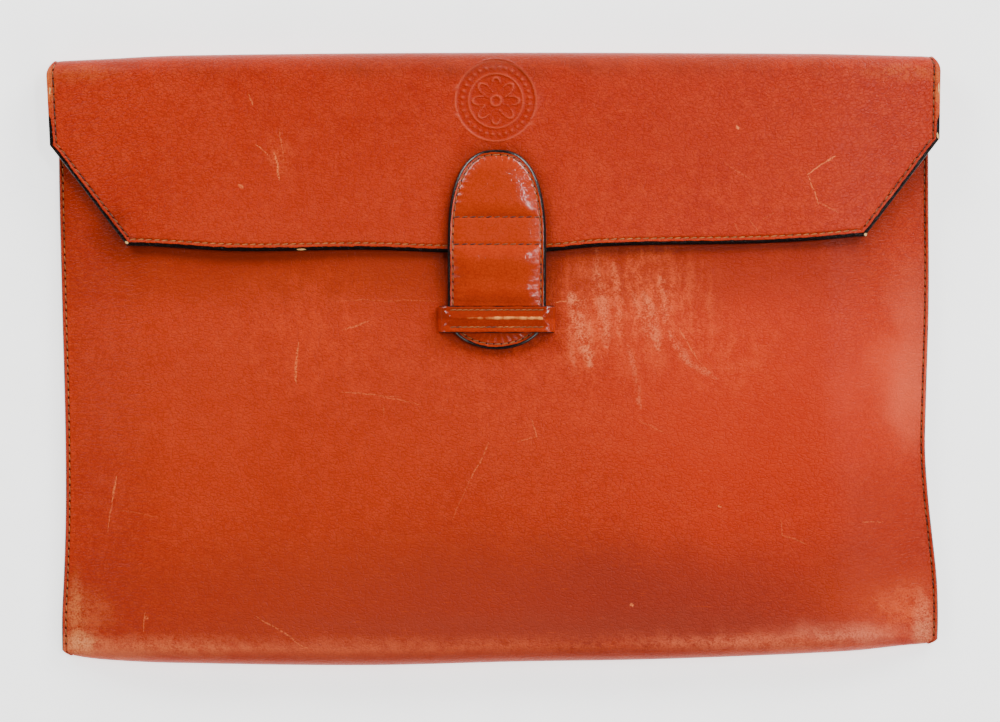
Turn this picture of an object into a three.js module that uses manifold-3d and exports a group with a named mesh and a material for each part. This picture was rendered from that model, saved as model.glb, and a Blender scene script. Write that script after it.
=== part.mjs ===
// A leather document case, lying on its back with its front up. One hide is folded at the
// bottom and at the top, its sides are sewn together, and its end hangs over the front as a
// flap. A tab sewn across the flap's edge slips under a keeper loop on the front.
// Millimetres. +X is right, +Y is towards the top fold and +Z is up out of the front. The
// underside of the back lies at Z = 0, with the origin under the middle of the case.
import * as THREE from "three";
import { mergeVertices } from "three/addons/utils/BufferGeometryUtils.js";
import Module from "manifold-3d";

const { clamp, lerp, smoothstep } = THREE.MathUtils;
const QUARTER = Math.PI / 2;

// The hide and its pocket
const HIDE = 2.2; // thickness of the leather
const CLEARANCE = 0.3; // left between layers that lie on each other
const CASE_HEIGHT = 254; // from the bottom fold to the top fold
const BODY_WIDTH = 362; // across the two side seams, at the mouth
const POCKET_DEPTH = 13; // clear depth inside, where the case is fullest
const MOUTH_DROP = 16; // from the top fold down to the front's free edge
const SEAM_ALLOWANCE = 3; // the flat sewn strip along each side
const SIDE_RISE = 42; // from that strip to where the front levels out
const SEAM_FILLET = 5; // how softly the front leaves the sewn strip
const SIDE_WAVE = 4.5; // how far a side seam strays from straight
const BOTTOM_RISE = 8.5; // how far the bottom fold climbs at the right seam
const TOP_FALL = 3.3; // how far the top fold falls at its left end
const BOTTOM_CORNER = 3; // how far the bottom fold's ends are rounded in
const TOP_CORNER = 2.4; // the same at the top fold
const DENT = 1.2; // depth of the deepest dent in the front

// The flap
const FLAP_OVERHANG = 4; // its reach past each side seam, at the top fold
const FLAP_DROP = 83.3; // from the top fold to the flap's lower edge
const FLAP_SHOULDER = 39; // from the top fold to where its corners are cut
const CORNER_CUT = 33; // width taken off at each cut corner
const FLAP_TAPER = 1; // how much each side draws in above the cut corner
const FLAP_SHIFT = 1; // the lower edge sits this much to the right
const FLAP_EDGE_RISE = 6.8; // how far the lower edge climbs at its right end
const FLAP_STIFFNESS = 0.6; // share of the front's fall that the flap doesn't follow
const FLAP_LIFT = 1.3; // how far the lower edge curls off the front
const FLAP_WIDENING = 22; // length over which the back widens to the flap

// The tab and its keeper
const TAB_WIDTH = 40.6;
const TAB_ABOVE = 42.5; // from the flap's lower edge up to the tab's top
const TAB_ARCH = 39; // length of the tab's narrowing top
const TAB_END = 14; // length of its rounded end
const TAB_TAIL = 6.8; // how far the end shows below the keeper
const TAB_THICKNESS = 2.6; // at the sewn rim
const TAB_PADDING = 1.3; // extra height of the padded middle
const TAB_STEP = 15; // length over which the tab comes down off the flap
const TAB_CENTRE = 1.4; // the tab and keeper sit this much to the right
const KEEPER_LENGTH = 48.4;
const KEEPER_WIDTH = 11.2;
const KEEPER_THICKNESS = 2;
const KEEPER_BELOW = 27.4; // from the flap's lower edge down to the keeper's middle
const KEEPER_BEND = 3; // middle radius where the band turns down
const KEEPER_TURN = 1.2; // middle radius where it turns under the front
const KEEPER_FOOT = 6; // length that is turned under
const KEEPER_BEVEL = 0.5; // softened edge of the band

// How finely the leather is divided
const FRONT_ROWS = 14;
const FOLD_ROWS = 8;
const BACK_ROWS = 12;
const SHOULDER_ROWS = 5;
const CORNER_ROWS = 7;
const EDGE_COLUMNS = 7; // in each rising side
const MIDDLE_COLUMNS = 11;
const ARCH_ROWS = 8;
const STEP_ROWS = 12;
const END_ROWS = 5;
const TAB_COLUMNS = 10;
const ARC_STEPS = 5;

// Side seams, from the bottom (0) to the top (1). Each column is a share of SIDE_WAVE,
// outwards.
const SIDES = [
  { at: 0, left: -0.35, right: 0.78 },
  { at: 0.075, left: -0.31, right: 0.89 },
  { at: 0.14, left: -0.47, right: 0.78 },
  { at: 0.205, left: -0.6, right: 0.4 },
  { at: 0.27, left: -0.66, right: 0 },
  { at: 0.35, left: -0.64, right: -0.3 },
  { at: 0.44, left: -0.55, right: -0.2 },
  { at: 0.6, left: -0.3, right: 0.04 },
  { at: 0.8, left: -0.04, right: 0 },
  { at: 1, left: 0, right: 0 },
];
// Fullness of the pocket, from the bottom to the top, as a share of POCKET_DEPTH
const FULLNESS = [
  { at: 0, full: 0.8 },
  { at: 0.1, full: 0.8 },
  { at: 0.22, full: 0.86 },
  { at: 0.4, full: 1 },
  { at: 0.55, full: 1 },
  { at: 0.7, full: 0.9 },
  { at: 0.85, full: 0.78 },
  { at: 1, full: 0.74 },
];
// Dents and swells in the front: middle and reach as shares of half the body's width and
// height, height as a share of DENT
const DENTS = [
  { across: -0.62, up: 0.22, wide: 0.26, tall: 0.3, height: -0.6 },
  { across: -0.2, up: -0.66, wide: 0.5, tall: 0.22, height: -1 },
  { across: 0.8, up: -0.12, wide: 0.2, tall: 0.32, height: 0.9 },
  { across: 0.5, up: -0.6, wide: 0.3, tall: 0.2, height: -0.5 },
];
// Rise of the bottom fold, from the left seam (-1) to the right (1), as a share of
// BOTTOM_RISE
const BOTTOM = [
  { at: -1, rise: 0.46 },
  { at: -0.9, rise: 0.26 },
  { at: -0.74, rise: 0.12 },
  { at: -0.3, rise: 0 },
  { at: 0.06, rise: 0.18 },
  { at: 0.33, rise: 0.27 },
  { at: 0.59, rise: 0.46 },
  { at: 0.82, rise: 0.7 },
  { at: 1, rise: 1 },
];
// Fall of the top fold, from its left end to its right, as a share of TOP_FALL
const TOP = [
  { at: -1, fall: 1 },
  { at: -0.87, fall: 0.76 },
  { at: -0.7, fall: 0.34 },
  { at: -0.07, fall: 0 },
  { at: 0.7, fall: 0.12 },
  { at: 1, fall: 0.4 },
];
// The flap's lower edge, from its left corner to its right: rise as a share of
// FLAP_EDGE_RISE, curl as a share of FLAP_LIFT
const FLAP_EDGE = [
  { at: -1, rise: 0.43, curl: 0.3 },
  { at: -0.7, rise: 0.1, curl: 1 },
  { at: -0.35, rise: 0.18, curl: 0.3 },
  { at: -0.12, rise: 0.02, curl: 0.15 },
  { at: 0.12, rise: 0.06, curl: 0.15 },
  { at: 0.3, rise: 0.4, curl: 0.6 },
  { at: 0.7, rise: 0.57, curl: 0.3 },
  { at: 0.87, rise: 0.76, curl: 0.5 },
  { at: 1, rise: 1, curl: 0.3 },
];
// Padding of the tab, from its tip (0) to its top (1), as a share of TAB_PADDING. It is
// nothing under the keeper and between the two rows of stitches.
const PADDING = [
  { at: 0, pad: 0 },
  { at: 0.08, pad: 0 },
  { at: 0.25, pad: 0 },
  { at: 0.36, pad: 0.8 },
  { at: 0.44, pad: 0.7 },
  { at: 0.53, pad: 0 },
  { at: 0.64, pad: 0 },
  { at: 0.72, pad: 0.7 },
  { at: 0.84, pad: 0.8 },
  { at: 1, pad: 0 },
];

// Reads one column of a table on a smooth curve through its rows.
function read(table, column, at) {
  let i = table.length - 2;
  while (i > 0 && table[i].at > at) i -= 1;
  const [from, to] = [table[i], table[i + 1]];
  const reach = to.at - from.at;
  const t = clamp((at - from.at) / reach, 0, 1);
  const slope = (k) => {
    const [before, after] = [table[k - 1], table[k + 1]];
    if (!before || !after) return 0;
    return (after[column] - before[column]) / (after.at - before.at);
  };
  const ease = t * t * (3 - 2 * t);
  const leave = t * (1 - t) * (1 - t) * reach * slope(i);
  const arrive = t * t * (t - 1) * reach * slope(i + 1);
  return lerp(from[column], to[column], ease) + leave + arrive;
}

const FLAP_WIDTH = BODY_WIDTH + 2 * FLAP_OVERHANG;
const FLAP_LOWER_WIDTH = FLAP_WIDTH - 2 * CORNER_CUT;
const sideOf = (x) => (x < 0 ? "left" : "right");
const upShare = (y) => y / CASE_HEIGHT + 0.5;
const MOUTH = CASE_HEIGHT / 2 - MOUTH_DROP;
const FOLD_TOP = CASE_HEIGHT / 2;
const FOLD_BOTTOM = -CASE_HEIGHT / 2;
// Below this level the front keeps its height, so that it meets the bottom fold squarely.
const LEVEL_BOTTOM = FOLD_BOTTOM + BOTTOM_RISE + HIDE + 1;

const bodyHalf = (side, y) =>
  BODY_WIDTH / 2 + SIDE_WAVE * read(SIDES, side, upShare(y));
const topLine = (x) => FOLD_TOP - TOP_FALL * read(TOP, "fall", x / (FLAP_WIDTH / 2));
const bottomLine = (x) =>
  FOLD_BOTTOM + BOTTOM_RISE * read(BOTTOM, "rise", x / (BODY_WIDTH / 2));

// How far the front's middle layer lies above the back's, at a level and an inset from the
// seam: sewn flat at the seam, then rising to the full pocket.
function fullnessAt(y) {
  return POCKET_DEPTH * read(FULLNESS, "full", upShare(y));
}
function dentAt(x, y) {
  return DENTS.reduce((sum, dent) => {
    const across = (x / (BODY_WIDTH / 2) - dent.across) / dent.wide;
    const up = (y / (CASE_HEIGHT / 2) - dent.up) / dent.tall;
    return sum + DENT * dent.height * Math.exp(-across * across - up * up);
  }, 0);
}
function spread(x, y) {
  const level = clamp(y, LEVEL_BOTTOM, MOUTH);
  const inset = bodyHalf(sideOf(x), level) - Math.abs(x) - SEAM_ALLOWANCE;
  const q = clamp(inset / SIDE_RISE, 0, 1);
  const fillet = SEAM_FILLET / SIDE_RISE;
  const rise = Math.sin((QUARTER * (q * q * (1 + fillet))) / (q + fillet));
  return HIDE + lerp(CLEARANCE, fullnessAt(level) + dentAt(x, level), rise);
}
const frontMiddle = (x, y) => HIDE / 2 + spread(x, y);

// The flap lies on the front in the middle, and stands off it towards the sides.
const flapEdgeLine = (x, column) =>
  read(FLAP_EDGE, column, (x - FLAP_SHIFT) / (FLAP_LOWER_WIDTH / 2));
const flapEdge = (x) =>
  FOLD_TOP - FLAP_DROP + FLAP_EDGE_RISE * flapEdgeLine(x, "rise");
function flapMiddle(x, y) {
  const level = Math.min(y, MOUTH);
  const fall = HIDE + fullnessAt(Math.max(level, LEVEL_BOTTOM)) - spread(x, level);
  const down = clamp((MOUTH - level) / (MOUTH - flapEdge(x)), 0, 1);
  const curl = FLAP_LIFT * flapEdgeLine(x, "curl") * down * down;
  const standOff = FLAP_STIFFNESS * Math.max(fall, 0);
  return frontMiddle(x, level) + HIDE + CLEARANCE + standOff + curl;
}

// Radii and centres of the two folds at a place across the case
const bottomRadius = (x) => spread(x, LEVEL_BOTTOM) / 2;
const bottomCentre = (x) => bottomLine(x) + HIDE / 2 + bottomRadius(x);
const topRadius = (x) => (flapMiddle(x, MOUTH) - HIDE / 2) / 2;
const topCentre = (x) => topLine(x) - HIDE / 2 - topRadius(x);

const FLAP_START = HIDE / 2 + topRadius(0);
const SHOULDER_SHARE = (FLAP_SHOULDER - FLAP_START) / (FLAP_DROP - FLAP_START);

// The middle of the hide's thickness, strip by strip. Across runs from -1 at the left edge
// to 1 at the right, and t runs from 0 to 1 along each strip.
const STRIPS = {
  front(side, t) {
    const level = lerp(MOUTH, bottomCentre(side * (BODY_WIDTH / 2)), t);
    return {
      half: bodyHalf(sideOf(side), level),
      place: (x) => {
        const y = lerp(MOUTH, bottomCentre(x), t);
        return new THREE.Vector3(x, y, frontMiddle(x, y));
      },
    };
  },
  bottomFold(side, t) {
    const turn = Math.PI * t;
    const inward = BOTTOM_CORNER * Math.sin(turn) ** 2;
    return {
      half: bodyHalf(sideOf(side), bottomCentre(side * (BODY_WIDTH / 2))) - inward,
      place: (x) => {
        const r = bottomRadius(x);
        const y = bottomCentre(x) - r * Math.sin(turn);
        return new THREE.Vector3(x, y, HIDE / 2 + r + r * Math.cos(turn));
      },
    };
  },
  back(side, t) {
    const edge = side * (BODY_WIDTH / 2);
    const level = lerp(bottomCentre(edge), topCentre(edge), t);
    const widening = smoothstep(level, MOUTH - FLAP_WIDENING, topCentre(edge));
    return {
      half: lerp(bodyHalf(sideOf(side), level), FLAP_WIDTH / 2, widening),
      place: (x) => {
        const y = lerp(bottomCentre(x), topCentre(x), t);
        return new THREE.Vector3(x, y, HIDE / 2);
      },
    };
  },
  topFold(side, t) {
    const turn = Math.PI * t;
    return {
      half: FLAP_WIDTH / 2 - TOP_CORNER * Math.sin(turn) ** 2,
      place: (x) => {
        const r = topRadius(x);
        const y = topCentre(x) + r * Math.sin(turn);
        return new THREE.Vector3(x, y, HIDE / 2 + r - r * Math.cos(turn));
      },
    };
  },
  flap(side, t) {
    const shoulder = FLAP_WIDTH / 2 - FLAP_TAPER + (side * FLAP_SHIFT) / 2;
    const lower = FLAP_LOWER_WIDTH / 2 + side * FLAP_SHIFT;
    const past = (t - SHOULDER_SHARE) / (1 - SHOULDER_SHARE);
    return {
      half:
        past < 0
          ? lerp(FLAP_WIDTH / 2, shoulder, t / SHOULDER_SHARE)
          : lerp(shoulder, lower, past),
      place: (x) => {
        const y = lerp(topCentre(x), flapEdge(x), t);
        return new THREE.Vector3(x, y, flapMiddle(x, y));
      },
    };
  },
};
function hideMiddle(strip, t, across) {
  const side = across < 0 ? -1 : 1;
  const { half, place } = STRIPS[strip](side, t);
  return place(across * half);
}
// A point on the hide's outer face (face = 1) or inner face (face = -1)
function hidePoint(strip, t, across, face) {
  const step = 1e-4;
  const [t0, t1] = [Math.max(t - step, 0), Math.min(t + step, 1)];
  const [a0, a1] = [Math.max(across - step, -1), Math.min(across + step, 1)];
  const along = hideMiddle(strip, t1, across).sub(hideMiddle(strip, t0, across));
  const over = hideMiddle(strip, t, a1).sub(hideMiddle(strip, t, a0));
  const outward = along.cross(over).normalize();
  return hideMiddle(strip, t, across).addScaledVector(outward, (face * HIDE) / 2);
}

const stepsTo = (count) => Array.from({ length: count }, (_, i) => (i + 1) / count);

// Bends a thin box into a sheet. Its width becomes the columns, its height the rows from
// last to first, and its two faces the two sides of the sheet.
function bendSheet(columns, rows, place) {
  const sheet = new THREE.BoxGeometry(1, 1, 1, columns.length - 1, rows.length - 1, 1);
  const corners = sheet.getAttribute("position");
  const moved = new THREE.Vector3();
  for (let i = 0; i < corners.count; i += 1) {
    const column = Math.round((corners.getX(i) + 0.5) * (columns.length - 1));
    const row = Math.round((0.5 - corners.getY(i)) * (rows.length - 1));
    moved.copy(place(columns[column], rows[row], Math.sign(corners.getZ(i))));
    corners.setXYZ(i, moved.x, moved.y, moved.z);
  }
  sheet.computeVertexNormals();
  return sheet;
}

function hideSheet() {
  const flapSteps = [
    ...stepsTo(SHOULDER_ROWS).map((s) => s * SHOULDER_SHARE),
    ...stepsTo(CORNER_ROWS).map((s) => lerp(SHOULDER_SHARE, 1, s)),
  ];
  const rows = [
    { strip: "front", t: 0 },
    ...stepsTo(FRONT_ROWS).map((t) => ({ strip: "front", t })),
    ...stepsTo(FOLD_ROWS).map((t) => ({ strip: "bottomFold", t })),
    ...stepsTo(BACK_ROWS).map((t) => ({ strip: "back", t })),
    ...stepsTo(FOLD_ROWS).map((t) => ({ strip: "topFold", t })),
    ...flapSteps.map((t) => ({ strip: "flap", t })),
  ];
  const sewn = 1 - (SEAM_ALLOWANCE + SIDE_RISE) / (BODY_WIDTH / 2);
  const edge = [0, ...stepsTo(EDGE_COLUMNS)].map((s) => lerp(1, sewn, s * s * (2 - s)));
  const middle = stepsTo(MIDDLE_COLUMNS - 1).map((s) => lerp(-sewn, sewn, s));
  const columns = [
    ...edge.map((across) => -across),
    ...middle.slice(0, -1),
    ...edge.reverse(),
  ];
  return bendSheet(columns, rows, (across, row, face) =>
    hidePoint(row.strip, row.t, across, face),
  );
}

// Boolean cuts
const wasm = await Module();
wasm.setup();
function solid(geometry) {
  const bare = geometry.clone();
  bare.deleteAttribute("normal");
  bare.deleteAttribute("uv");
  const merged = mergeVertices(bare, 1e-4);
  const mesh = new wasm.Mesh({
    numProp: 3,
    vertProperties: merged.getAttribute("position").array,
    triVerts: new Uint32Array(merged.index.array),
  });
  return new wasm.Manifold(mesh);
}
function geometryOf(body) {
  const mesh = body.getMesh();
  const geometry = new THREE.BufferGeometry();
  geometry.setAttribute("position", new THREE.BufferAttribute(mesh.vertProperties, 3));
  geometry.setIndex(new THREE.BufferAttribute(mesh.triVerts, 1));
  geometry.computeVertexNormals();
  return geometry;
}

// The keeper's place, and the height of the front under it
const EDGE_AT_TAB = flapEdge(TAB_CENTRE);
const KEEPER_Y = EDGE_AT_TAB - KEEPER_BELOW;
const FRONT_AT_KEEPER = frontMiddle(TAB_CENTRE, KEEPER_Y) + HIDE / 2;
const LEG = KEEPER_LENGTH / 2 - KEEPER_THICKNESS / 2;

function hideWrap() {
  const slit = new THREE.BoxGeometry(
    KEEPER_THICKNESS + 2 * CLEARANCE,
    KEEPER_WIDTH + 2 * CLEARANCE,
    3 * HIDE,
  );
  const cuts = [-LEG, LEG].map((leg) =>
    solid(
      slit.clone().translate(TAB_CENTRE + leg, KEEPER_Y, FRONT_AT_KEEPER - HIDE / 2),
    ),
  );
  return geometryOf(cuts.reduce((body, cut) => body.subtract(cut), solid(hideSheet())));
}

// One face of the keeper band, from the end turned under on the left to the one on the
// right, offset from the band's middle towards its outside
function keeperFace(offset) {
  const top =
    FRONT_AT_KEEPER + 2 * CLEARANCE + TAB_THICKNESS + KEEPER_THICKNESS / 2;
  const foot = FRONT_AT_KEEPER - HIDE - 2 * CLEARANCE - KEEPER_THICKNESS / 2;
  const footEnd = LEG + KEEPER_TURN + KEEPER_FOOT;
  const [bend, turn] = [KEEPER_BEND + offset, KEEPER_TURN - offset];
  const path = new THREE.Path();
  path.moveTo(-footEnd, foot + offset);
  path.lineTo(-LEG - KEEPER_TURN, foot + offset);
  path.absarc(-LEG - KEEPER_TURN, foot + KEEPER_TURN, turn, -QUARTER, 0, false);
  path.absarc(-LEG + KEEPER_BEND, top - KEEPER_BEND, bend, 2 * QUARTER, QUARTER, true);
  path.absarc(LEG - KEEPER_BEND, top - KEEPER_BEND, bend, QUARTER, 0, true);
  path.absarc(
    LEG + KEEPER_TURN,
    foot + KEEPER_TURN,
    turn,
    2 * QUARTER,
    3 * QUARTER,
    false,
  );
  path.lineTo(footEnd, foot + offset);
  return path.getPoints(ARC_STEPS);
}
function keeperLoop() {
  const reach = KEEPER_THICKNESS / 2 - KEEPER_BEVEL;
  const outline = [...keeperFace(reach), ...keeperFace(-reach).reverse()];
  const band = new THREE.ExtrudeGeometry(new THREE.Shape(outline), {
    depth: KEEPER_WIDTH - 2 * KEEPER_BEVEL,
    bevelThickness: KEEPER_BEVEL,
    bevelSize: KEEPER_BEVEL,
    bevelSegments: 1,
  });
  return band
    .translate(0, 0, KEEPER_BEVEL - KEEPER_WIDTH / 2)
    .rotateX(QUARTER)
    .translate(TAB_CENTRE, KEEPER_Y, 0);
}

// The tab's underside: on the flap, then down a step onto the front
function tabUnderside(x, y) {
  const onFlap = flapMiddle(x, Math.max(y, flapEdge(x)));
  const down = smoothstep(flapEdge(x) - HIDE / 2 - y, 0, TAB_STEP);
  return lerp(onFlap, frontMiddle(x, y), down) + HIDE / 2 + CLEARANCE;
}
function closureTab() {
  const half = TAB_WIDTH / 2;
  const top = EDGE_AT_TAB + TAB_ABOVE;
  const tip = KEEPER_Y - KEEPER_WIDTH / 2 - TAB_TAIL;
  const archBase = top - TAB_ARCH;
  const endBase = tip + TAB_END;
  const squareness = 0.8; // 1 would make the arch half an ellipse
  const narrowest = 0.07; // share of a quarter turn left off at each tip
  const turns = (count) =>
    [0, ...stepsTo(count)].map((s) => QUARTER * lerp(narrowest, 1, s));
  const arch = turns(ARCH_ROWS).map((turn) => ({
    y: archBase + TAB_ARCH * Math.cos(turn) ** squareness,
    half: half * Math.sin(turn) ** squareness,
  }));
  const end = turns(END_ROWS)
    .reverse()
    .map((turn) => ({
      y: endBase - TAB_END * Math.cos(turn),
      half: half * Math.sin(turn),
    }));
  const straight = stepsTo(STEP_ROWS)
    .slice(0, -1)
    .map((s) => ({ y: lerp(archBase, endBase, s), half }));
  const rows = [...arch, ...straight, ...end];
  const columns = [0, ...stepsTo(TAB_COLUMNS)].map((s) =>
    Math.sin(QUARTER * (2 * s - 1)),
  );
  return bendSheet(columns, rows, (across, row, face) => {
    const x = TAB_CENTRE + across * row.half;
    const pad = read(PADDING, "pad", (row.y - tip) / (top - tip));
    const crown = TAB_PADDING * pad * Math.cos(QUARTER * across) ** 0.7;
    const z = tabUnderside(x, row.y) + (face > 0 ? TAB_THICKNESS + crown : 0);
    return new THREE.Vector3(x, row.y, z);
  });
}

const tanHide = new THREE.MeshStandardMaterial({ color: "#b9421d", roughness: 0.48 });
const glazedHide = new THREE.MeshStandardMaterial({ color: "#b23f1e", roughness: 0.3 });

function piece(name, geometry, material) {
  const mesh = new THREE.Mesh(geometry, material);
  mesh.name = name;
  return mesh;
}

const documentCase = new THREE.Group();
documentCase.name = "leather document case";
documentCase.add(
  piece("hide_wrap", hideWrap(), tanHide),
  piece("closure_tab", closureTab(), glazedHide),
  piece("keeper_loop", keeperLoop(), glazedHide),
);
const middle = new THREE.Box3().setFromObject(documentCase).getCenter(new THREE.Vector3());
documentCase.position.set(-middle.x, -middle.y, 0);

export default documentCase;
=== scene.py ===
# %% [markdown]
# # The looks of a leather document case
#
# The case is one folded hide of tan leather, a padded tab and a keeper loop. It lies on
# its back on a pale table, and the camera looks straight down on its front. The packed
# solids give every size and place. This lesson dresses them: each plain solid is replaced
# by a finer sheet with rounded, painted edges, sewn channels, real stitches and worn
# leather.

import math

import bmesh
import bpy
import numpy as np
from mathutils import Matrix, Vector, noise


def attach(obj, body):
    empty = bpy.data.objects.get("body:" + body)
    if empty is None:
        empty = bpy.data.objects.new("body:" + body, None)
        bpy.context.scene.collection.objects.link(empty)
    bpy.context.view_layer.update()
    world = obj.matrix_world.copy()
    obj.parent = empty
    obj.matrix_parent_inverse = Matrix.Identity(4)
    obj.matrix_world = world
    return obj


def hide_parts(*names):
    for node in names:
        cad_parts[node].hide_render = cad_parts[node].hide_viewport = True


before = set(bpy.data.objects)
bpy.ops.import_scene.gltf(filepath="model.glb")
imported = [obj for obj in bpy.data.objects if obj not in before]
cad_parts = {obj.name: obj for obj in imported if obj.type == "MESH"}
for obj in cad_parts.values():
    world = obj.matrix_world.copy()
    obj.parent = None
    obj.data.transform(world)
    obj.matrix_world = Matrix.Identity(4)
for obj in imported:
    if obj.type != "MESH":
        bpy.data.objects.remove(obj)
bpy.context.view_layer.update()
MM = 0.001
MATH, MIX, RANGE = "ShaderNodeMath", "ShaderNodeMix", "ShaderNodeMapRange"
NOISE, RAMP, VECTOR = "ShaderNodeTexNoise", "ShaderNodeValToRGB", "ShaderNodeVectorMath"
MAPPING, ATTRIBUTE, PLACE = "ShaderNodeMapping", "ShaderNodeAttribute", "ShaderNodeTexCoord"
TIMES, TIMES_PLUS = {"operation": "MULTIPLY"}, {"operation": "MULTIPLY_ADD"}
SOFT = {"interpolation_type": "SMOOTHSTEP"}


def linear(hex_colour):
    """An sRGB hex colour as linear red, green, blue and alpha."""
    parts = [int(hex_colour[i : i + 2], 16) / 255 for i in (1, 3, 5)]
    parts = [c / 12.92 if c <= 0.04045 else ((c + 0.055) / 1.055) ** 2.4 for c in parts]
    return (*parts, 1.0)


def fill(tree, node, settings=None, links=None):
    """Fills a node in. Settings are properties or sockets, links join sockets to it."""
    for name, value in (settings or {}).items():
        if isinstance(name, str) and hasattr(node, name):
            setattr(node, name, value)
        else:
            node.inputs[name].default_value = value
    for name, socket in (links or {}).items():
        tree.links.new(socket, node.inputs[name])


def add(tree, kind, settings=None, links=None, out=0):
    """Adds one node, fills it in and gives one of its outputs."""
    node = tree.nodes.new(kind)
    fill(tree, node, settings, links)
    return node.outputs[out]


def new_material(name):
    """A material with its node tree and its shader."""
    material = bpy.data.materials.new(name)
    material.use_nodes = True
    return material, material.node_tree, material.node_tree.nodes["Principled BSDF"]


def new_object(name, data):
    """Puts an object in the scene, at the origin."""
    piece = bpy.data.objects.new(name, data)
    bpy.context.collection.objects.link(piece)
    return piece


def ease(value, low, high):
    """0 below low, 1 above high, and a soft S between them."""
    t = np.clip((value - low) / (high - low), 0, 1)
    return t * t * (3 - 2 * t)


# %% [markdown]
# ## Camera, table and light
#
# The photographer stood a copy stand over the case, so the camera looks straight down
# through a long lens, which keeps the case's sides parallel. The leather keeps its deep
# colour only if nothing bright stands where a flat face would mirror it into the lens. So
# the light comes low from four large soft boxes beyond the case's corners, strongest past
# the top fold, and the sky above stays dim. Two small strips, high at the right, draw the
# bright streaks down the glazed tab.

# %% Camera and table
PHOTO_SCALE = 0.4143  # millimetres of case per pixel of the photograph
PHOTO_WIDTH, PHOTO_MIDDLE = 1000, (493.5, 359)  # the middle is the case's own origin
LENS, SENSOR = 135, 36
PAPER_BELOW, PAPER_GLOW, SKY = 0.0002, 1.9, 0.12
LOOK_AT = Vector((2.7, -0.8, 9.0)) * MM
stand_height = PHOTO_WIDTH * PHOTO_SCALE * MM * LENS / SENSOR
camera_data = bpy.data.cameras.new("copy_stand_camera")
camera_data.lens, camera_data.sensor_width = LENS, SENSOR
camera = new_object("copy_stand_camera", camera_data)
camera.location = LOOK_AT + Vector((0, 0, stand_height))
bpy.context.scene.camera = camera

floor_mesh = bmesh.new()
bmesh.ops.create_grid(floor_mesh, x_segments=1, y_segments=1, size=4)
bmesh.ops.translate(floor_mesh, verts=floor_mesh.verts, vec=(0, 0, -PAPER_BELOW))
floor_data = bpy.data.meshes.new("table_top")
floor_mesh.to_mesh(floor_data)
floor = new_object("table_top", floor_data)

# Matt paper shows only soft shadows. It lies on a light table, so it also glows.
paper, tree, shader = new_material("white_paper")
fibres = add(tree, NOISE, {"Scale": 40.0}, {0: add(tree, PLACE, out="Object")})
tone = add(tree, RAMP, None, {0: fibres})
stops = tone.node.color_ramp.elements
stops[0].color, stops[1].color = linear("#f3f3f2"), linear("#fafaf9")
finish = {"Roughness": 0.9, "Specular IOR Level": 0.2, "Emission Strength": PAPER_GLOW}
fill(tree, shader, finish, {"Base Color": tone, "Emission Color": tone})
floor_data.materials.append(paper)
print("camera", round(stand_height, 3), "m above the case")

# %% Soft boxes
SOFT_BOXES = {  # name: place in metres, width, height, watts
    "upper_right": ((1.2, 1.35, 0.85), 1.1, 0.7, 41.0),
    "upper_left": ((-1.2, 1.35, 0.85), 1.1, 0.7, 33.0),
    "lower_right": ((1.3, -1.2, 0.8), 1.1, 0.7, 14.0),
    "lower_left": ((-1.3, -1.2, 0.8), 1.1, 0.7, 10.0),
    "upper_strip": ((0.47, 0.2, 1.2), 0.4, 0.045, 5.0),
    "lower_strip": ((1.0, -0.1, 1.2), 0.3, 0.12, 2.2),
}
for name, (where, width, height, watts) in SOFT_BOXES.items():
    light = bpy.data.lights.new(name, "AREA")
    light.shape, light.size, light.size_y, light.energy = "RECTANGLE", width, height, watts
    lamp = new_object(name, light)
    lamp.location = where
    lamp.rotation_euler = (-Vector(where)).to_track_quat("-Z", "Y").to_euler()
world = bpy.data.worlds.new("dim_studio")
world.use_nodes = True
sky = world.node_tree.nodes["Background"]
fill(world.node_tree, sky, {"Color": (1, 1, 1, 1), "Strength": SKY})
bpy.context.scene.world = world
print(len(SOFT_BOXES), "soft boxes")

# %% [markdown]
# ## The run of the hide
#
# A hide that is folded twice can be described strip by strip: front, bottom fold, back,
# top fold, flap. Each strip gives the middle of the leather's thickness for a place along
# and across it. The tables are the ones that the solids were made from, so the finer
# sheet lies where the solid lies. All lengths here are millimetres.

# %% Sizes and tables
HIDE = 2.2
SEAM_GAP = 0.04  # the sewn layers touch, where the solids keep their clearance
LAY_GAP = 0.3
CASE_HEIGHT, BODY_WIDTH, POCKET_DEPTH, MOUTH_DROP = 254.0, 362.0, 13.0, 16.0
SEAM_ALLOWANCE, SIDE_RISE, SEAM_FILLET, SIDE_WAVE = 3.0, 42.0, 5.0, 4.5
BOTTOM_RISE, TOP_FALL, BOTTOM_CORNER, TOP_CORNER, DENT = 8.5, 3.3, 3.0, 2.4, 1.2
FLAP_OVERHANG, CORNER_CUT, FLAP_DROP, FLAP_SHOULDER = 4.0, 33.0, 83.3, 39.0
FLAP_TAPER, FLAP_SHIFT, FLAP_EDGE_RISE = 1.0, 1.0, 6.8
FLAP_STIFFNESS, FLAP_LIFT, FLAP_WIDENING = 0.6, 1.3, 22.0
FLAP_WIDTH = BODY_WIDTH + 2 * FLAP_OVERHANG
FLAP_LOWER_WIDTH = FLAP_WIDTH - 2 * CORNER_CUT
FOLD_TOP, FOLD_BOTTOM = CASE_HEIGHT / 2, -CASE_HEIGHT / 2
MOUTH = FOLD_TOP - MOUTH_DROP
LEVEL_BOTTOM = FOLD_BOTTOM + BOTTOM_RISE + HIDE + 1

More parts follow.
